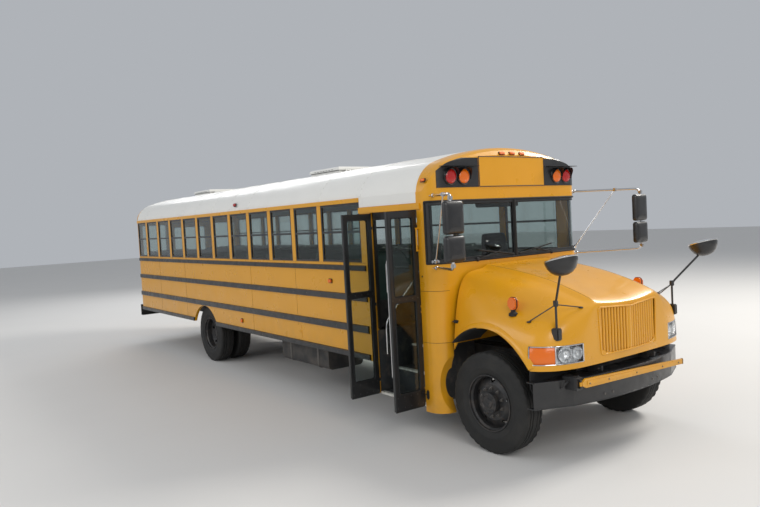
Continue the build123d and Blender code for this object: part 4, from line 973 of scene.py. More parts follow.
# Benches: crowned cushions and backs with piping, on bent tube frames
def puffed(ob, cap):
    # short cloth run with air inside and no gravity; every point stays within cap of where it was
    start = [v.co.copy() for v in ob.data.vertices]
    m = ob.modifiers.new("cloth", "CLOTH")
    m.settings.quality = 4
    m.settings.use_pressure = True
    m.settings.uniform_pressure_force = 4.0
    m.settings.effector_weights.gravity = 0.0
    for f in range(1, 21):
        SCENE.frame_set(f)
    baked(ob)
    for v, p in zip(ob.data.vertices, start):
        d = v.co - p
        v.co = p + d * min(1.0, cap / max(d.length, 1e-6))
    SCENE.frame_set(1)


def pad_mesh(name, profile, half, crown, welt):
    # soft closed form: one cross-section drawn in at both ends, smoothed by subdivision
    cx = sum(x for x, z in profile) / len(profile)
    cz = sum(z for x, z in profile) / len(profile)
    rings = []
    half -= 0.01
    for f, k in ((-1.0, 0.72), (-0.99, 0.93), (-0.95, 1.0), (-0.6, 1.0), (0.0, 1.0), (0.6, 1.0),
            (0.95, 1.0), (0.99, 0.93), (1.0, 0.72)):
        ring = []
        for x, z in profile:
            v = V(x - cx, z - cz)
            grow = 1 + crown * (1 - f * f)
            ring.append((cx + v.x * k * grow, half * f, cz + v.y * k * grow))
        rings.append(ring)
    loft(rings, (0, -1))
    ob = smoothed(linked(name, taken(name)), 2)
    puffed(ob, 0.008)
    bm.from_mesh(ob.data)
    for x, z in welt:
        tube([(x, half * f, z) for f in (-0.965, -0.8, -0.4, 0.0, 0.4, 0.8, 0.965)], 0.0045, 6)
    mesh = taken(name, flip=False)
    bpy.data.objects.remove(ob)
    for p in mesh.polygons:
        p.use_smooth = True
    return mesh


def placed(mesh, name, spot, mat):
    # a padded piece at its place in the body
    if not mesh.materials:
        mesh.materials.append(mat.m)
    ob = linked(name, mesh)
    ob.location = spot
    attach(ob, "body")


SEAT_LOW = FLOOR + 0.32
BENCH = (0.19, HALF - 0.052)
bench_half = (BENCH[1] - BENCH[0]) / 2
CUSHION = ((-0.02, 0.0), (0.18, 0.0), (0.39, 0.002), (0.412, 0.045), (0.404, 0.094), (0.355, 0.11),
    (0.26, 0.116), (0.13, 0.112), (0.02, 0.098), (-0.03, 0.08))
cushion = pad_mesh("bench_cushion", CUSHION, bench_half, 0.03, ((0.396, 0.09), (0.402, 0.014)))
BACKREST = ((-0.012, 0.05), (0.002, 0.1), (-0.008, 0.25), (-0.026, 0.4), (-0.038, 0.56), (-0.056, 0.596),
    (-0.088, 0.598), (-0.108, 0.56), (-0.1, 0.4), (-0.086, 0.22), (-0.07, 0.05))
backrest = pad_mesh("bench_back", BACKREST, bench_half, 0.02, ((-0.05, 0.58), (-0.094, 0.58)))
row = 0
SEAT_GAP = 0.604
x = DOOR_REAR - SEAT_GAP
while x > RX + 0.3:
    for side, s in SIDES:
        y = s * (BENCH[0] + bench_half)
        name = "bench_%02d_%s" % (row, side)
        placed(cushion, name + "_cushion", (x, y, SEAT_LOW), VINYL)
        placed(backrest, name + "_back", (x, y, SEAT_LOW), VINYL)
        legs = [0.23] + ([] if abs(x + 0.2 - RA) < 0.85 else [HALF - 0.095])
        for leg in legs:
            foot_z, top_z = FLOOR + 0.006, SEAT_LOW - 0.012
            loop = ((0.075, foot_z), (0.08, top_z), (0.36, top_z), (0.365, foot_z))
            tube(bent([(x + dx, s * leg, z) for dx, z in loop], 0.05, 4), 0.0125, 8)
            block((x + 0.045, s * leg - 0.024, FLOOR), (x + 0.395, s * leg + 0.024, foot_z))
            studs([(x + d, s * leg, FLOOR + 0.005) for d in (0.055, 0.385)], UP, 0.009, 0.006)
        low, high = s * (BENCH[0] + 0.015), s * (BENCH[1] - 0.015)
        block((x - 0.015, low, SEAT_LOW - 0.004), (x + 0.392, high, SEAT_LOW + 0.01))
        y = s * (BENCH[0] + 0.03)
        tube(bent([(x - 0.04, y, SEAT_LOW), (x - 0.075, y, SEAT_LOW + 0.3)], 0.02), 0.011, 6)
    row += 1
    x -= PITCH
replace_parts(done("bench_frames", CHASSIS), "passenger_seats")

# Padded barriers ahead of the first benches, each on a tube frame with a kick panel
DRIVER_X = DOOR_FRONT - 0.632
DRIVER_Y = HALF - 0.599
SHIELD = [(0.018, 0.33), (0.02, 0.48), (0.02, 0.75), (0.016, 0.905), (0.0, 0.922)]
SHIELD += [(-x, z) for x, z in SHIELD[3::-1]]
AISLE, WALL_Y = 0.252, HALF - 0.054
for side, x, y0, y1 in (("right", AX - 1.775, -WALL_Y, -AISLE), ("left", DRIVER_X - 0.28, AISLE, WALL_Y)):
    mid, half = (y0 + y1) / 2, (y1 - y0) / 2
    mesh = pad_mesh("barrier_" + side, SHIELD, half, 0.0, ((0.0, 0.919),))
    placed(mesh, "barrier_pad_" + side, (x, mid, FLOOR), VINYL)
    block((x - 0.006, y0 + 0.03, FLOOR + 0.03), (x + 0.006, y1 - 0.03, FLOOR + 0.4), 0.002)
    for y in (y0 + 0.035, y1 - 0.035):
        tube([(x, y, FLOOR), (x, y, FLOOR + 0.42)], 0.015, 10)
        lathe([(0.034, 0.0), (0.034, 0.006), (0.018, 0.012)], (x, y, FLOOR), UP, 14)
    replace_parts(done("barrier_frame_" + side, CHASSIS), "barriers")

# Driver's seat: bolstered cushion and back on a bellows pedestal
DRIVER_SEAT = (DRIVER_X, DRIVER_Y, FLOOR + 0.4)
mesh = pad_mesh("driver_cushion", [(0.0, 0.01), (0.22, 0.0), (0.435, 0.01), (0.452, 0.06), (0.435, 0.108),
    (0.34, 0.124), (0.2, 0.112), (0.06, 0.112), (0.0, 0.095)], 0.24, 0.02, ((0.43, 0.1),))
placed(mesh, "driver_cushion", DRIVER_SEAT, CLOTH)
mesh = pad_mesh("driver_back", [(-0.03, 0.075), (0.03, 0.1), (0.04, 0.24), (0.018, 0.42), (0.01, 0.6),
    (-0.012, 0.668), (-0.048, 0.668), (-0.062, 0.6), (-0.06, 0.3), (-0.056, 0.09)], 0.22,
    0.02, ((0.004, 0.61),))
placed(mesh, "driver_back", DRIVER_SEAT, CLOTH)
profile = [(0.15, 0.0), (0.15, 0.012), (0.12, 0.03)]
for k in range(7):
    profile += [(0.128, 0.055 + k * 0.045), (0.108, 0.077 + k * 0.045)]
profile += [(0.15, 0.38), (0.2, 0.392), (0.2, 0.404), (0, 0.404)]
lathe(profile, (DRIVER_X + 0.225, DRIVER_Y, FLOOR), UP, 20)
for s in (-1, 1):
    rest = ((-0.02, 0.238, 0.62), (0.05, 0.24, 0.66), (0.27, 0.24, 0.66))
    tube(bent([(DRIVER_X + dx, DRIVER_Y + s * dy, FLOOR + z) for dx, dy, z in rest], 0.04), 0.018, 10)
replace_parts(done("driver_pedestal", RUBBER, angle=60), "driver_seat")

# Steering wheel: round rim, three dished spokes and hub on a shrouded column
HUB = V(AX - 0.745 - 0.04 - 0.175, DRIVER_Y, FLOOR + 0.7)
TILT = V(-0.12, 0, 0.22).normalized()
flat = V(0, 1, 0)
rise = TILT.cross(flat)
tube([HUB + TILT * -0.1, HUB + TILT * 0.006], 0.03, 14)
ring = [(0.2265 + 0.0135 * cos(2 * pi * k / 10), 0.0135 * sin(2 * pi * k / 10)) for k in range(10)]
lathe(ring, HUB, TILT, 48, loop=True)
lathe([(0.0, -0.035), (0.05, -0.03), (0.066, -0.012), (0.066, 0.002), (0.05, 0.014), (0.0, 0.018)],
    HUB, TILT, 24)
for a in (0.0, pi, -pi / 2):
    d = flat * cos(a) + rise * sin(a)
    tube([HUB + d * 0.05 - TILT * 0.016, HUB + d * 0.14 - TILT * 0.01, HUB + d * 0.222], 0.017, 8,
        squash=0.4, up=flat * -sin(a) + rise * cos(a))
tube([HUB + TILT * -0.05, HUB + V(0.13, 0, -0.225)], 0.038, 14)
for s, r in ((1, 0.13), (-1, 0.1)):
    tube(bent([HUB - TILT * 0.07, HUB - TILT * 0.06 + flat * s * r, HUB - TILT * 0.045
        + flat * s * (r + 0.06)], 0.03), 0.006, 6)
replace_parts(done("steering_wheel", DASH, angle=40), "steering_wheel")

# Dash: hooded gauge cluster with dials, switch rows, vents and the inside mirror
DASH_X = AX - 0.785
hoodlet = []
for k in range(13):
    a = pi * k / 12
    hoodlet.append((DRIVER_Y + 0.27 * cos(a), FLOOR + 0.715 + 0.085 * sin(a)))
lip = ((0.0, 0.0), (-0.09, 0.004), (-0.094, 0.0), (-0.088, -0.008), (-0.06, -0.012))
sheet([[(DASH_X + dx, y, z + dz) for y, z in hoodlet] for dx, dz in lip])
for y in (-0.8, -0.5, -0.2, 0.1):
    for k in range(5):
        block((DASH_X - 0.073, y, FLOOR + 0.6 + k * 0.012), (DASH_X - 0.06, y + 0.14,
            FLOOR + 0.605 + k * 0.012), 0.001)
for k in range(8):
    y = 0.24 + k * 0.03 if k < 4 else 0.78 + k * 0.03
    block((DASH_X - 0.078, y, FLOOR + 0.52), (DASH_X - 0.06, y + 0.018, FLOOR + 0.555), 0.003)
tube([(DASH_X - 0.03, -1.0, FLOOR + 0.742), (DASH_X - 0.03, 0.3, FLOOR + 0.742)], 0.012, 8)
done("dash_details", DASH, angle=40)
for y, z, r in ((-0.115, 0.7, 0.062), (0.115, 0.7, 0.062), (0.0, 0.735, 0.038), (-0.215, 0.68, 0.028),
        (0.215, 0.68, 0.028), (0.0, 0.655, 0.028)):
    lathe([(0, 0.004), (r * 0.86, 0.004), (r * 0.92, 0.012), (r, 0.012), (r, -0.02)],
        (DASH_X - 0.058, DRIVER_Y + y, FLOOR + z), (-1, 0, 0.25), 28)
done("dash_dials", SCALE, angle=30)
plate(rounded(0.72, 0.13, 0.03, 4), (AX - 0.905, 0.05, HEAD - 0.085), (0, 1, 0), (-0.18, 0, 0.98),
    0.014, 0.004)
tube(bent([(AX - 0.9, 0.05, HEAD - 0.06), (AX - 0.86, 0.05, HEAD + 0.0), (AX - 0.82, 0.05, HEAD + 0.06)],
    0.03), 0.009, 8)
done("inside_mirror", BLACK)

# Entrance: ribbed treads with pale nosings, and two handrails
STEP_Z = FLOOR - 0.75
x0, x1 = DOOR_REAR + 0.01, DOOR_FRONT - 0.01
treads = [(y0, y1, STEP_Z + i * 0.25 + 0.014) for i, (y0, y1) in enumerate(
    ((-1.19, -0.938), (-0.93, -0.698), (-0.69, -0.458)))]
for y0, y1, z in treads:
    block((x0, y0 + 0.046, z), (x1, y1, z + 0.002))
    for k in range(9):
        y = y0 + 0.058 + k * (y1 - y0 - 0.068) / 9
        block((x0, y, z + 0.001), (x1, y + 0.01, z + 0.005))
done("step_treads", MATTING)
for y0, y1, z in treads:
    block((x0, y0 - 0.006, z - 0.024), (x1, y0 + 0.046, z + 0.006), 0.003)
block((x0, -0.454, FLOOR - 0.006), (x1, -0.412, FLOOR + 0.005), 0.002)
done("step_nosings", NOSING)
tube(bent([(x0 + 0.04, -1.1, STEP_Z + 0.46), (x0 + 0.045, -1.1, FLOOR + 0.1),
    (x0 + 0.045, -0.42, FLOOR + 0.78), (x0 + 0.045, -0.42, FLOOR + 0.0)], 0.1, 6), 0.016, 12)
tube(bent([(x1 - 0.04, -1.1, STEP_Z + 0.56), (x1 - 0.045, -1.1, FLOOR + 0.26),
    (x1 - 0.045, -0.5, FLOOR + 0.7), (x1 - 0.045, -0.42, FLOOR + 0.6)], 0.08, 6), 0.016, 12)
done("entrance_rails", CHROME)

# Thin dark line along each crease of the hood: painted shade of a groove, laid on the surface
for s in (-1, 1):
    pts = []
    for k in range(41):
        hit, n, i, d = on_skin((AX - 0.5 + 1.3 * k / 40, s * (HALF - 0.723), 3.0), (0, 0, -1))
        pts.append(hit + V(0, 0, -0.0006))
    tube(pts, 0.0022, 6)
done("hood_grooves", SEAM_SHADE, "hood")

# Shelf on top of the front bumper, and a splash panel ahead of each front wheel
for s in (-1, 1):
    wall = [(0.5, 0.7), (1.13, 0.7), (1.165, 0.76), (1.165, 0.915), (0.5, 0.915)]
    plate([(y, z) for y, z in wall], (AX + 0.58, 0, 0), (0, s, 0), UP, 0.006 * s)
ys = [-1.15 + 2.3 * k / 24 for k in range(25)]
shelf = [(bumper_x(y) - 0.012, y) for y in ys] + [(AX + 0.6, y) for y in reversed(ys)]
loft([[(x, y, z) for x, y in shelf] for z in (0.804, 0.811)], (0, 1))
for k in range(9):
    y = -0.96 + k * 0.24
    block((AX + 0.62, y, 0.811), (AX + 0.74, y + 0.012, 0.816), 0.002)
done("bumper_shelf", BLACK)


# Rivets: rows on the side sheets, the roof bows and the ends; dark lines of painted shade mark the side
# sheets' seams
SKIN_Y = HALF + 0.0004
REAR_ARCH_R, REAR_ARCH_Z = 0.64, 0.424


def clear_of_arch(x, z):
    return (x - RA) ** 2 + (z - REAR_ARCH_Z) ** 2 > REAR_ARCH_R ** 2


RIVET_STEP, SEAM_STEP = 0.0711, 0.071
RAILS = ((SILL - 0.103, SILL - 0.034), (SILL - 0.476, SILL - 0.39), (FLOOR - 0.053, FLOOR + 0.041),
    (0.7, 0.775))
SHEETS = [(low[1], high[0]) for high, low in zip(RAILS, RAILS[1:])][::-1]
POSTS = [AX - 2.885 - PITCH * k for k in range(11)]
for side, s, end in (("right", -1, AX - 1.865), ("left", 1, DOOR_FRONT)):
    spots, bolts = [], []
    for z0, z1 in RAILS:
        n = int((end - RX - 0.2) / RIVET_STEP)
        for k in range(n):
            x = RX + 0.15 + RIVET_STEP * k
            for z in (z0 - 0.02, z1 + 0.02):
                if z > RAILS[3][0] + 0.01 and clear_of_arch(x, z):
                    spots.append(((x, s * HALF, z), (0, s, 0)))
            if k % 5 == 2 and clear_of_arch(x, (z0 + z1) / 2):
                bolts.append(((x, s * (HALF + 0.022), (z0 + z1) / 2), (0, s, 0)))
    for x in POSTS[1::2] + ([AX - 2.3] if s > 0 else []):
        for z0, z1 in SHEETS:
            if clear_of_arch(x, z0) and abs(x - RA) > 0.6:
                # dark line at the joint between sheets: painted shade of the seam
                tube([(x, s * SKIN_Y, z0), (x, s * SKIN_Y, z1)], 0.0016, 5)
                for k in range(int((z1 - z0 - 0.06) / SEAM_STEP)):
                    for dx in (-0.014, 0.014):
                        spots.append(((x + dx, s * HALF, z0 + 0.06 + SEAM_STEP * k), (0, s, 0)))
    tube([(RX + 0.12, s * SKIN_Y, SILL - 0.006), (end, s * SKIN_Y, SILL - 0.006)], 0.0014, 5)
    done("side_seams_" + side, SEAM_SHADE)
    for x in POSTS:
        for z in (SILL + 0.05, SILL + 0.28, SILL + 0.5, HEAD - 0.05):
            spots.append(((x, s * HALF, z), (0, s, 0)))
    rivets("side_rivets_" + side, spots, YELLOW)
    rivets("rail_bolts_" + side, bolts, NUT, r=0.0075, h=0.005)

# Roof: lap strips over the bows with their rivets, found on the solid's surface
node = frame["nodes"]["roof"]
WORLD = node.matrix_world
ROOF_SKIN = BVHTree.FromPolygons([WORLD @ v.co for v in node.data.vertices],
    [tuple(p.vertices) for p in node.data.polygons])


def on_roof(x, a):
    # the roof's outer surface at one length and one angle from the right-hand eave
    d = V(0, -cos(a), sin(a))
    hit, n, i, r = ROOF_SKIN.ray_cast(V(x, 0, 2.35) + d * 3.0, -d)
    return hit, (n if n.dot(d) > 0 else -n)


spots = []
BOWS = [x for x in [AX - 1.95] + POSTS + [RX + 0.16] if all(abs(x - at) > 0.5 for _, at in HATCHES)]
for x in BOWS:
    line = []
    for k in range(49):
        a = radians(15.5 + 149 * k / 48)
        hit, n = on_roof(x, a)
        if hit is None or hit.z < EAVE + 0.028:
            continue
        line.append((hit, n))
        if k % 2:
            spots += [((hit.x + dx, hit.y, hit.z), n) for dx in (-0.02, 0.02)]
    profile = ((-0.04, -0.001), (-0.036, 0.0045), (0.036, 0.0045), (0.04, -0.001))
    sheet([[p + n * up + V(dx, 0, 0) for p, n in line] for dx, up in profile])
done("roof_strips", WHITE, angle=20)
for x in BOWS:
    for dx in (-0.0405, 0.0405):
        pts = [on_roof(x + dx, radians(16 + 148 * k / 40)) for k in range(41)]
        tube([p for p, n in pts if p is not None and p.z > EAVE + 0.025], 0.0014, 5)
done("roof_seams", CAULK)
rivets("roof_rivets", spots, WHITE, r=0.0055, h=0.0045)

# Ceiling and inside panels
vault = [on_roof(-2.0, radians(19 + 142 * k / 32)) for k in range(33)]
vault = [hit - n * 0.046 for hit, n in vault]
sheet([[(x, p.y, p.z) for p in vault] for x in (RX + 0.13, -3.9, -2.0, -0.1, 1.8, 3.0, AX - 1.0)])
done("ceiling", LINER, angle=60)
for side, s, end in (("right", -1, AX - 1.78), ("left", 1, AX - 0.9)):
    y = s * (HALF - 0.0525)
    for z0, z1 in ((FLOOR + 0.001, SILL - 0.004), (HEAD + 0.004, EAVE + 0.05)):
        block((RX + 0.115, min(y, y - s * 0.002), z0), (end, max(y, y - s * 0.002), z1))
    x = end - 0.15
    while x > RX + 0.3:
        block((x - 0.02, min(y, y - s * 0.005), FLOOR + 0.01), (x + 0.02, max(y, y - s * 0.005),
            SILL - 0.01), 0.0015)
        x -= PITCH
    tube([(RX + 0.12, y, FLOOR + 0.02), (end, y, FLOOR + 0.02)], 0.01, 6)
    done("inside_panels_" + side, LINER)

# Window latches on the sash bars
Z_BAR = (SILL + HEAD) / 2 + 0.012
for s in (-1, 1):
    for x in POSTS[:10]:
        for dx in (-0.16, -0.55):
            y = s * (HALF - 0.034)
            block((x + dx - 0.022, y - 0.008, Z_BAR - 0.01), (x + dx + 0.022, y + 0.008, Z_BAR + 0.01),
                0.003)
            tube([(x + dx, y, Z_BAR), (x + dx, y - s * 0.022, Z_BAR + 0.004)], 0.005, 6)
done("window_latches", RUBBER)

# Entrance door: rubber edges, glass gaskets, rivets and a grab bar, and the frame round the doorway
for name, x, s in (("front", AX - 0.886, 1), ("rear", AX - 1.717, -1)):
    y1, y0 = -HALF - 0.008, -HALF + 0.004 - 0.414
    tube([(x, y0 + 0.012, STEP_Z + 0.02), (x, y0 + 0.012, 2.464)], 0.0195, 12, squash=0.55, up=FORE)
    tube([(x, y0 + 0.01, STEP_Z + 0.012), (x, y1 - 0.004, STEP_Z + 0.012)], 0.012, 8)
    for z0, z1 in ((FLOOR + 0.48, 2.4), (STEP_Z + 0.19, FLOOR + 0.42)):
        for face in (-1, 1):
            loop_bar(x + face * 0.016, y0 + 0.055, y1 - 0.055, z0, z1, 0.0065, 0.035, 6, 4)
    done("door_rubber_" + name, RUBBER, "door_" + name)
    if s > 0:
        g, y = x - 0.05, y0 + 0.03
        tube(bent([(x - 0.014, y, 1.96), (g, y, 1.96), (g, y, 0.7), (x - 0.014, y, 0.7)], 0.03, 5),
            0.011, 10)
        tube([(g, y, 1.62), (g, y, 1.925)], 0.019, 12)
        done("door_grab", CHROME, "door_front")
    spots = []
    for y in (y0 + 0.03, y0 + 0.12, y0 + 0.21, y0 + 0.3, y1 - 0.03):
        for z in (STEP_Z + 0.05, STEP_Z + 0.16, FLOOR + 0.45):
            spots += [((x + f * 0.016, y, z), (f, 0, 0)) for f in (-1, 1)]
    rivets("door_rivets_" + name, spots, NUT, r=0.006, h=0.004, body="door_" + name)

WAY_X0, WAY_X1 = DOOR_REAR + 0.002, DOOR_FRONT - 0.002
WAY_Y0, WAY_Y1 = -1.188, -1.15
ARM_MID = AX - 1.3
block((WAY_X0, WAY_Y0, 2.392), (WAY_X1, WAY_Y1, 2.486), 0.004)
for x in (WAY_X0, WAY_X1 - 0.03):
    block((x, WAY_Y0, FLOOR + 0.02), (x + 0.03, WAY_Y1, 2.4), 0.004)
block((ARM_MID - 0.3, WAY_Y1, 2.405), (ARM_MID + 0.1, WAY_Y1 + 0.07, 2.47), 0.008)
for s in (-1, 1):
    tube([(ARM_MID + s * 0.16, -1.115, 2.44), (ARM_MID + s * 0.3, -1.165, 2.44)], 0.01, 8)
done("doorway_frame", BLACK)
block((AX - 1.944, -HALF - 0.003, 2.5525), (WAY_X1, -HALF + 0.002, 2.6705), 0.001)
done("doorway_sheet", WHITE)

# Emergency door: seal, handle, gasket and rivets; gaskets of the rear windows and rivets of the rear wall
EXIT_Y, EXIT_Z = 0.475, EAVE - 0.06
loop_bar(RX + 0.001, -EXIT_Y + 0.003, EXIT_Y - 0.003, FLOOR - 0.036, EXIT_Z - 0.003, 0.0055, 0.02)
for s in (-1, 1):
    a, b = sorted((s * 0.56, s * 1.1))
    loop_bar(RX + 0.002, a, b, SILL, EAVE - 0.09, 0.011, 0.05)
done("rear_seals", RUBBER)
loop_bar(RX + 0.002, -0.37, 0.37, SILL, EAVE - 0.16, 0.011, 0.05)
done("emergency_gasket", RUBBER, "emergency_door")
GRIP_Y, GRIP_Z = 0.4, FLOOR + 0.735
plate(rounded(0.07, 0.15, 0.02, 4), (RX + 0.001, GRIP_Y, GRIP_Z - 0.035), (0, -1, 0), UP, 0.007, 0.002)
grip = ((-0.002, 0, 0), (-0.04, 0, 0), (-0.044, 0, -0.155), (-0.04, -0.02, -0.215))
tube(bent([(RX + dx, GRIP_Y + dy, GRIP_Z + dz) for dx, dy, dz in grip], 0.025), 0.01, 10)
lathe([(0.02, 0.0), (0.02, 0.014), (0.012, 0.02), (0, 0.02)], (RX - 0.004, GRIP_Y, GRIP_Z),
    (-1, 0, 0), 16)
done("emergency_handle", CHROME, "emergency_door")
spots = []
for z in (FLOOR + 0.05, FLOOR + 0.3, FLOOR + 0.55, FLOOR + 0.78):
    for k in range(12):
        spots.append(((RX, -0.42 + k * 0.0764, z), (-1, 0, 0)))
rivets("emergency_rivets", spots, YELLOW, body="emergency_door")
spots = []
for s in (-1, 1):
    for z in (0.78, 0.98, 1.3, 1.6, 1.84):
        for k in range(7):
            spots.append(((RX, s * (0.54 + k * 0.085), z), (-1, 0, 0)))
rivets("rear_rivets", spots, YELLOW)

# Stop arm: bare red octagon with a pale border and a lamp at top and bottom of each face
SX, SZ = AX - 1.5, SILL - 0.388
octo = [(cos(pi / 8 + pi / 4 * k), sin(pi / 8 + pi / 4 * k)) for k in range(8)]
for y, out in ((HALF + 0.0524, 1), (HALF + 0.0396, -1)):
    edge = ((0.24, -0.001), (0.24, 0.0012), (0.22, 0.0012), (0.22, -0.001))
    loft([[(SX + r * a, y + out * dy, SZ + r * b) for a, b in octo] for r, dy in edge])
done("stop_arm_border", BORDER, "stop_arm", angle=20)
for side, y, out in (("outer", HALF + 0.052, 1), ("inner", HALF + 0.04, -1)):
    for where, dz in (("top", 0.14), ("bottom", -0.14)):
        p = V(SX, y, SZ + dz)
        lathe([(0.052, 0), (0.052, 0.008), (0.046, 0.011), (0.046, 0.0)], p, (0, out, 0), 24)
        done("stop_lamp_ring_%s_%s" % (where, side), BLACK, "stop_arm")
        lathe([(0.046, 0.002), (0.042, 0.013), (0.032, 0.018), (0.018, 0.0205), (0, 0.021)],
            p, (0, out, 0), 24)
        done("stop_lamp_%s_%s" % (where, side), RED, "stop_arm", angle=50)
studs([(AX - 1.22 + d, HALF + 0.049, SZ + 0.07 + e) for d in (-0.066, -0.036) for e in (-0.009, 0.009)],
    (0, 1, 0), 0.006, 0.005)
done("stop_arm_bolts", NUT, "stop_arm")
block((AX - 1.262, HALF + 0.004, SZ + 0.12), (AX - 1.198, HALF + 0.04, SZ + 0.165), 0.008)
conduit = ((0.02, 0.002), (0.02, -0.08), (-0.01, -0.1))
tube(bent([(AX - 1.23, HALF + dy, SZ + dz) for dy, dz in conduit], 0.02), 0.007, 8)
done("stop_arm_conduit", RUBBER)

# Roof hatches: rubber seal, side louvres and corner screws
HATCH_X, HATCH_Y = 0.412, 0.362
for name, x in HATCHES:
    turn = ((0, -1), (1, -1), (1, 1), (-1, 1), (-1, -1), (0, -1))
    tube(bent([(x + HATCH_X * a, HATCH_Y * b, ROOF + 0.016) for a, b in turn], 0.04), 0.007, 8)
    for s in (-1, 1):
        for k in range(7):
            block((x - 0.27 + k * 0.08, s * 0.3695 - 0.002, 3.175), (x - 0.22 + k * 0.08,
                s * 0.3695 + 0.002, 3.183), 0.001)
    done(name + "_seal", RUBBER, name)
    spots = [((x + a, b, 3.2145), UP) for a in (-0.37, 0, 0.37) for b in (-0.32, 0.32)]
    rivets(name + "_screws", spots, NUT, r=0.008, h=0.0005, body=name)

# Under the body: spring bolts, dampers, brake chambers, tank straps, battery lid and fuel flap
for x, y in ((AX, 0.392), (RA, 0.43)):
    for s in (-1, 1):
        for dx in (-0.055, 0.055):
            loop = ((-0.05, 0.43), (-0.05, 0.6), (0.05, 0.6), (0.05, 0.43))
            tube(bent([(x + dx, s * (y + dy), z) for dy, z in loop], 0.02, 3), 0.009, 8)
        block((x - 0.085, s * y - 0.062, 0.428), (x + 0.085, s * y + 0.062, 0.446), 0.004)
for s in (-1, 1):
    tube([(RA + 0.14, s * 0.36, 0.46), (RA + 0.36, s * 0.36, 0.86)], 0.03, 12)
    tube([(RA + 0.16, s * 0.36, 0.5), (RA + 0.2, s * 0.36, 0.57)], 0.022, 10)
    lathe([(0.0, -0.07), (0.06, -0.065), (0.075, -0.03), (0.08, 0.0), (0.075, 0.03), (0.06, 0.065),
        (0, 0.07)], (RA - 0.24, s * 0.33, 0.52), (1, 0, 0.1), 20)
    tube([(RA - 0.17, s * 0.33, 0.52), (RA - 0.06, s * 0.33, 0.52)], 0.012, 8)
done("spring_bolts", CHASSIS)
for x in (AX - 4.03, AX - 3.27):
    loop_bar(x, -0.556, -1.124, 0.396, 0.884, 0.02, 0.066, 8, 6, squash=0.2, up=FORE)
lathe([(0.04, -0.01), (0.04, 0.018), (0.03, 0.024), (0, 0.024)], (AX - 3.6, -1.118, 0.79), (0, -1, 0), 18)
done("tank_straps", NUT)
block((AX - 3.29, 1.0002, 0.58), (AX - 2.61, 1.006, 0.89), 0.002)
for x in (AX - 3.15, AX - 2.75):
    block((x - 0.02, 1.004, 0.84), (x + 0.02, 1.018, 0.9), 0.004)
for k in range(6):
    block((AX - 3.1 + k * 0.05, 1.004, 0.62), (AX - 3.07 + k * 0.05, 1.01, 0.72), 0.002)
done("battery_lid", CHASSIS)
plate(rounded(0.19, 0.19, 0.02, 4), (AX - 3.6, -HALF, FLOOR - 0.19), FORE, UP, 0.003, 0.001)
block((AX - 3.545, -HALF - 0.008, FLOOR - 0.2), (AX - 3.525, -HALF - 0.002, FLOOR - 0.17), 0.002)
done("fuel_flap", YELLOW)

# Engine under the hood: castings, covers, manifolds, air pipes, belt and fan
CRANK_Z = FLOOR - 0.17
PORT, TURBO, FAN = 0.24, 0.335, 0.21
CYLINDERS = [-0.29 + 0.102 * k for k in range(6)]


def at(x, y, z):
    # a place on the engine, from the front axle, the middle and the crank
    return V(AX + x, y, CRANK_Z + z)


def core(x0, x1, half, z0, z1, bevel):
    # block of the engine with the same reach to both sides
    block(at(x0, -half, z0), at(x1, half, z1), bevel)


core(-0.4, 0.34, 0.19, -0.08, 0.19, 0.012)
core(-0.39, 0.33, 0.14, 0.19, 0.29, 0.008)
for s in (-1, 1):
    for x in CYLINDERS:
        block(at(x + 0.043, s * 0.185, -0.06), at(x + 0.059, s * 0.206, 0.17), 0.003)
        lathe([(0.03, 0), (0.03, 0.006), (0.024, 0.006), (0.022, 0.002), (0, 0.002)],
            at(x, s * 0.19, 0.05), (0, s, 0), 20)
    block(at(-0.06, s * 0.18, -0.11), at(0.06, s * 0.421, -0.03), 0.006)
    studs([at(dx, s * 0.36, -0.03) for dx in (-0.035, 0.035)], UP, 0.013, 0.012)
bell = [(0.02, -0.4), (0.18, -0.4), (0.18, -0.44), (0.15, -0.462), (0.112, -0.5), (0.095, -0.53),
    (0.02, -0.53)]
lathe(bell, at(0, 0, 0.06), FORE, 32)
core(-0.5, -0.43, 0.075, -0.19, 0, 0.015)
lathe([(0.02, -0.45), (0.062, -0.45), (0.062, -0.515), (0.075, -0.52), (0.075, -0.54), (0.02, -0.54)],
    at(0, 0, -0.13), FORE, 24)
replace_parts(done("engine_castings", ENGINE), "engine_block")
core(-0.38, 0.32, 0.115, 0.29, 0.365, 0.022)
core(-0.33, 0.16, 0.045, 0.36, 0.385, 0.01)
lathe([(0.026, -0.01), (0.026, 0.012), (0.036, 0.014), (0.036, 0.034), (0.03, 0.038), (0, 0.038)],
    at(0.24, 0.02, 0.365), UP, 12)
core(-0.38, 0.1, 0.16, -0.145, -0.08, 0.018)
core(0.06, 0.33, 0.15, -0.11, -0.08, 0.008)
core(0.335, 0.372, 0.165, -0.07, 0.23, 0.01)
edge = [at(x + 0.05, s * 0.122, 0.3) for s in (-1, 1) for x in CYLINDERS]
studs(edge, UP, 0.009, 0.012)
studs([at(0.372, s * 0.148, z) for s in (-1, 1) for z in (-0.04, 0.05, 0.13, 0.21)], FORE, 0.009, 0.008)
done("engine_covers", CHASSIS)
tube([at(-0.31, 0.225, PORT), at(0.25, 0.225, PORT)], 0.034, 14)
for x in CYLINDERS:
    tube([at(x, 0.135, PORT), at(x, 0.225, PORT)], 0.022, 12)
    lathe([(0.01, 0), (0.034, 0), (0.034, 0.01), (0.01, 0.01)], at(x, 0.14, PORT), (0, 1, 0), 4)
turbine = [(0.02, -0.075), (0.042, -0.075), (0.042, -0.05), (0.062, -0.042), (0.062, -0.012),
    (0.04, -0.006), (0.04, 0.004), (0.02, 0.004)]
lathe(turbine, at(-0.03, 0.234, TURBO), FORE, 28)
tube([at(-0.055, 0.228, PORT), at(-0.055, 0.23, 0.3)], 0.026, 12)
outlet = [at(-0.1, 0.234, TURBO), at(-0.365, 0.24, TURBO), at(-0.365, 0.25, -0.13),
    at(-0.445, 0.25, -0.13)]
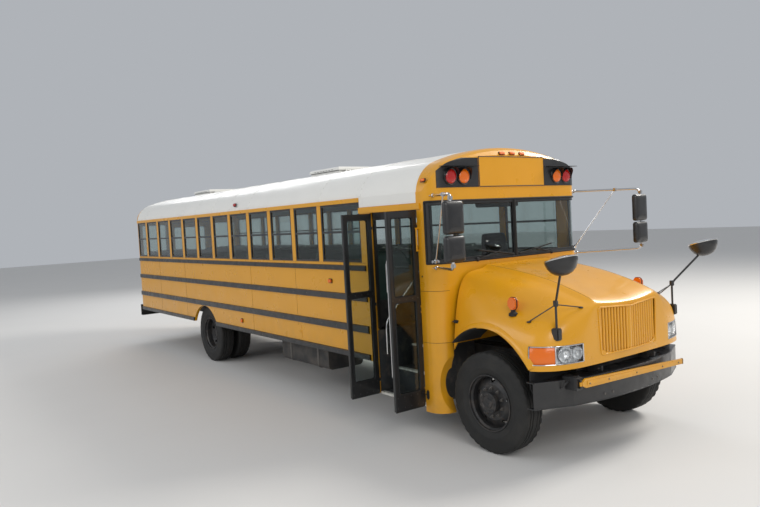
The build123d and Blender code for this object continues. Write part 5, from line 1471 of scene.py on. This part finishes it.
tube(bent(outlet, 0.09, 7), 0.038, 16)
done("engine_manifold", STEEL)
block(at(-0.33, -0.24, 0.205), at(0.27, -0.175, 0.275), 0.02)
for x in CYLINDERS:
    tube([at(x, -0.135, PORT), at(x, -0.19, PORT)], 0.025, 12)
charger = [(0.02, 0.004), (0.046, 0.004), (0.064, 0.014), (0.064, 0.046), (0.036, 0.054), (0.036, 0.078),
    (0.02, 0.078)]
lathe(charger, at(-0.03, 0.234, TURBO), FORE, 28)
over = [at(0.002, 0.24, 0.385), at(0.06, 0.225, 0.438), at(0.13, 0.1, 0.442), at(0.13, -0.205, 0.442),
    at(0.13, -0.207, 0.26)]
tube(bent(over, 0.07, 6), 0.032, 16)
lathe([(0.01, -0.06), (0.052, -0.06), (0.06, -0.052), (0.06, 0.05), (0.05, 0.058), (0.02, 0.06),
    (0.02, 0.085), (0.01, 0.085)], at(0.29, -0.236, 0.11), FORE, 26)
done("engine_intake", ALU)
can = [(0, -0.34), (0.066, -0.34), (0.074, -0.332), (0.074, -0.268), (0.078, -0.264), (0.078, -0.25),
    (0.074, -0.246), (0.074, -0.01), (0.066, 0), (0.034, 0.004), (0.034, 0.03), (0, 0.03)]
lathe(can, at(-0.09, -0.212, 0.4), FORE, 28)
hose = [at(-0.07, -0.212, 0.4), at(-0.01, -0.205, 0.41), at(0.03, -0.06, 0.43), at(0.06, 0.12, 0.425),
    at(0.085, 0.222, 0.36), at(0.035, 0.234, TURBO)]
tube(bent(hose, 0.05, 5), 0.03, 14)
for s, z, end in ((1, 0.42, 0.33), (-1, 0.06, 0.02)):
    run = [at(0.6, s * 0.26, z), at(0.49, s * 0.262, z), at(0.4, s * 0.255, z - 0.01),
        at(0.34, s * 0.1, end)]
    tube(bent(run, 0.06, 5), 0.024, 12)
done("engine_hoses", RUBBER)
PULLEYS = ((0, 0, 0.088), (-0.236, 0.11, 0.034), (0, FAN, 0.062))
groove = ((1, 0.006, 0.372), (1, -0.002, 0.378), (1, -0.002, 0.396), (1, 0.006, 0.402), (0.6, 0, 0.4))
for y, z, r in PULLEYS:
    lathe([(0.01, 0.368)] + [(r * f + d, h) for f, d, h in groove] + [(0.01, 0.408)],
        at(0, y, z), FORE, 32)
lathe([(0.01, 0.4), (0.06, 0.404), (0.07, 0.412), (0.07, 0.44), (0.052, 0.452), (0.01, 0.458)],
    at(0, 0, FAN), FORE, 28)
blade = ((-1, -1), (-0.3, 1.6), (0.3, 1.6), (1, -1), (1, 0), (0.3, 3.4), (-0.3, 3.4), (-1, 0))
for k in range(9):
    a = 2 * pi * k / 9
    out, across = V(0, cos(a), sin(a)), V(0, -sin(a), cos(a))
    rows = []
    for r, w, lean in ((0.06, 0.036, 0.6), (0.12, 0.046, 0.48), (0.19, 0.056, 0.38), (0.262, 0.06, 0.32)):
        mid = at(0.432, 0, FAN) + out * r
        chord = (across * cos(lean) + FORE * sin(lean)) * w
        rows.append([mid + chord * f + V(0.0022, 0, 0) * g for f, g in blade])
    loft(rows, (0, -1))
done("engine_fan", BLACK)
spots = [(y + r * cos(pi * k / 24), z + r * sin(pi * k / 24)) for y, z, r in PULLEYS for k in range(48)]
cy, cz = -0.07, 0.1
loop = []
for run in (sorted(spots), sorted(spots)[::-1]):
    part = []
    for p in run:
        while len(part) > 1:
            (y0, z0), (y1, z1) = part[-2:]
            if (y1 - y0) * (p[1] - z0) > (z1 - z0) * (p[0] - y0):
                break
            part.pop()
        part.append(p)
    loop += part[:-1]
band = ((0.381, 1.0), (0.381, 1.035), (0.394, 1.035), (0.394, 1.0))
loft([[at(x, cy + (y - cy) * f, cz + (z - cz) * f) for y, z in loop] for x, f in band], around=True)
done("engine_belt", RUBBER)

# Radiator: core fins between two tanks, with its cap
for x in (0.5975, 0.6925):
    for k in range(45):
        y = -0.35 + 0.7 * k / 44
        block(at(x - 0.003, y - 0.0035, 0.055), at(x + 0.003, y + 0.0035, 0.415))
    for z0, z1 in ((0.004, 0.052), (0.418, 0.466)):
        core(x - 0.006, x + 0.006, 0.366, z0, z1, 0.003)
lathe([(0.022, -0.004), (0.022, 0.008), (0.032, 0.01), (0.032, 0.02), (0, 0.022)],
    at(0.645, 0.1, 0.47), UP, 16)
done("radiator_core", CHASSIS)

# Camera at the photograph's place: rows are its right, down and forward directions
RIGHT = V(0.59404222, 0.80261404, -0.05407902)
DOWN = V(0.00589085, -0.0715647, -0.99741856)
AHEAD = V(-0.80441229, 0.59219017, -0.04724053)
camera = linked("camera", bpy.data.cameras.new("camera"))
SCENE.camera = camera
camera.data.sensor_width = 36.0
camera.data.lens = 32.35
camera.data.clip_end = 200.0
turn = Matrix((RIGHT, -DOWN, -AHEAD)).transposed().to_4x4()
camera.matrix_world = Matrix.Translation((9.6766, -5.9274, 2.3774)) @ turn

# Plain pale floor, soft sky and four large soft lights
floor = linked("studio_floor", bpy.data.meshes.new("studio_floor"))
REACH = 60.0
corners = [(REACH * a, REACH * b, 0) for a, b in ((-1, -1), (1, -1), (1, 1), (-1, 1))]
floor.data.from_pydata(corners, [], [(0, 1, 2, 3)])
FLOOR_MAT = Mat("studio_floor", None, (0.7, 0.69, 0.67), 0.85)
FLOOR_MAT.tint(FLOOR_MAT.times(FLOOR_MAT.noise(0.8, 6.0), 0.25), (0.6, 0.59, 0.57))
FLOOR_MAT.bump(FLOOR_MAT.noise(70.0, 4.0), 0.15, 0.001)
floor.data.materials.append(FLOOR_MAT.m)
SCENE.view_settings.view_transform = "Standard"
world = bpy.data.worlds.new("studio")
SCENE.world = world
world.use_nodes = True
sky = world.node_tree.nodes["Background"].inputs
sky["Color"].default_value = (0.86, 0.9, 0.96, 1)
sky["Strength"].default_value = 0.5


def area(name, spot, aim, size, power, color=(1, 1, 1)):
    data = bpy.data.lights.new(name, "AREA")
    data.shape = "RECTANGLE"
    data.size = size[0]
    data.size_y = size[1]
    data.energy = power
    data.color = color
    light = linked(name, data)
    light.location = spot
    light.rotation_euler = (Vector(aim) - Vector(spot)).to_track_quat("-Z", "Y").to_euler()


area("key", (7.0, 13.0, 13.0), (3.0, 0.0, 1.2), (6.0, 6.0), 2300, (1.0, 0.96, 0.9))
area("front", (16.0, -5.0, 8.0), (4.0, 0.0, 1.2), (8.0, 6.0), 620, (1.0, 0.98, 0.95))
area("side", (-2.0, -14.0, 8.0), (0.0, 0.0, 1.4), (18.0, 6.0), 680)
area("back", (-15.0, 6.0, 9.0), (-2.0, 0.0, 1.0), (10.0, 6.0), 650)
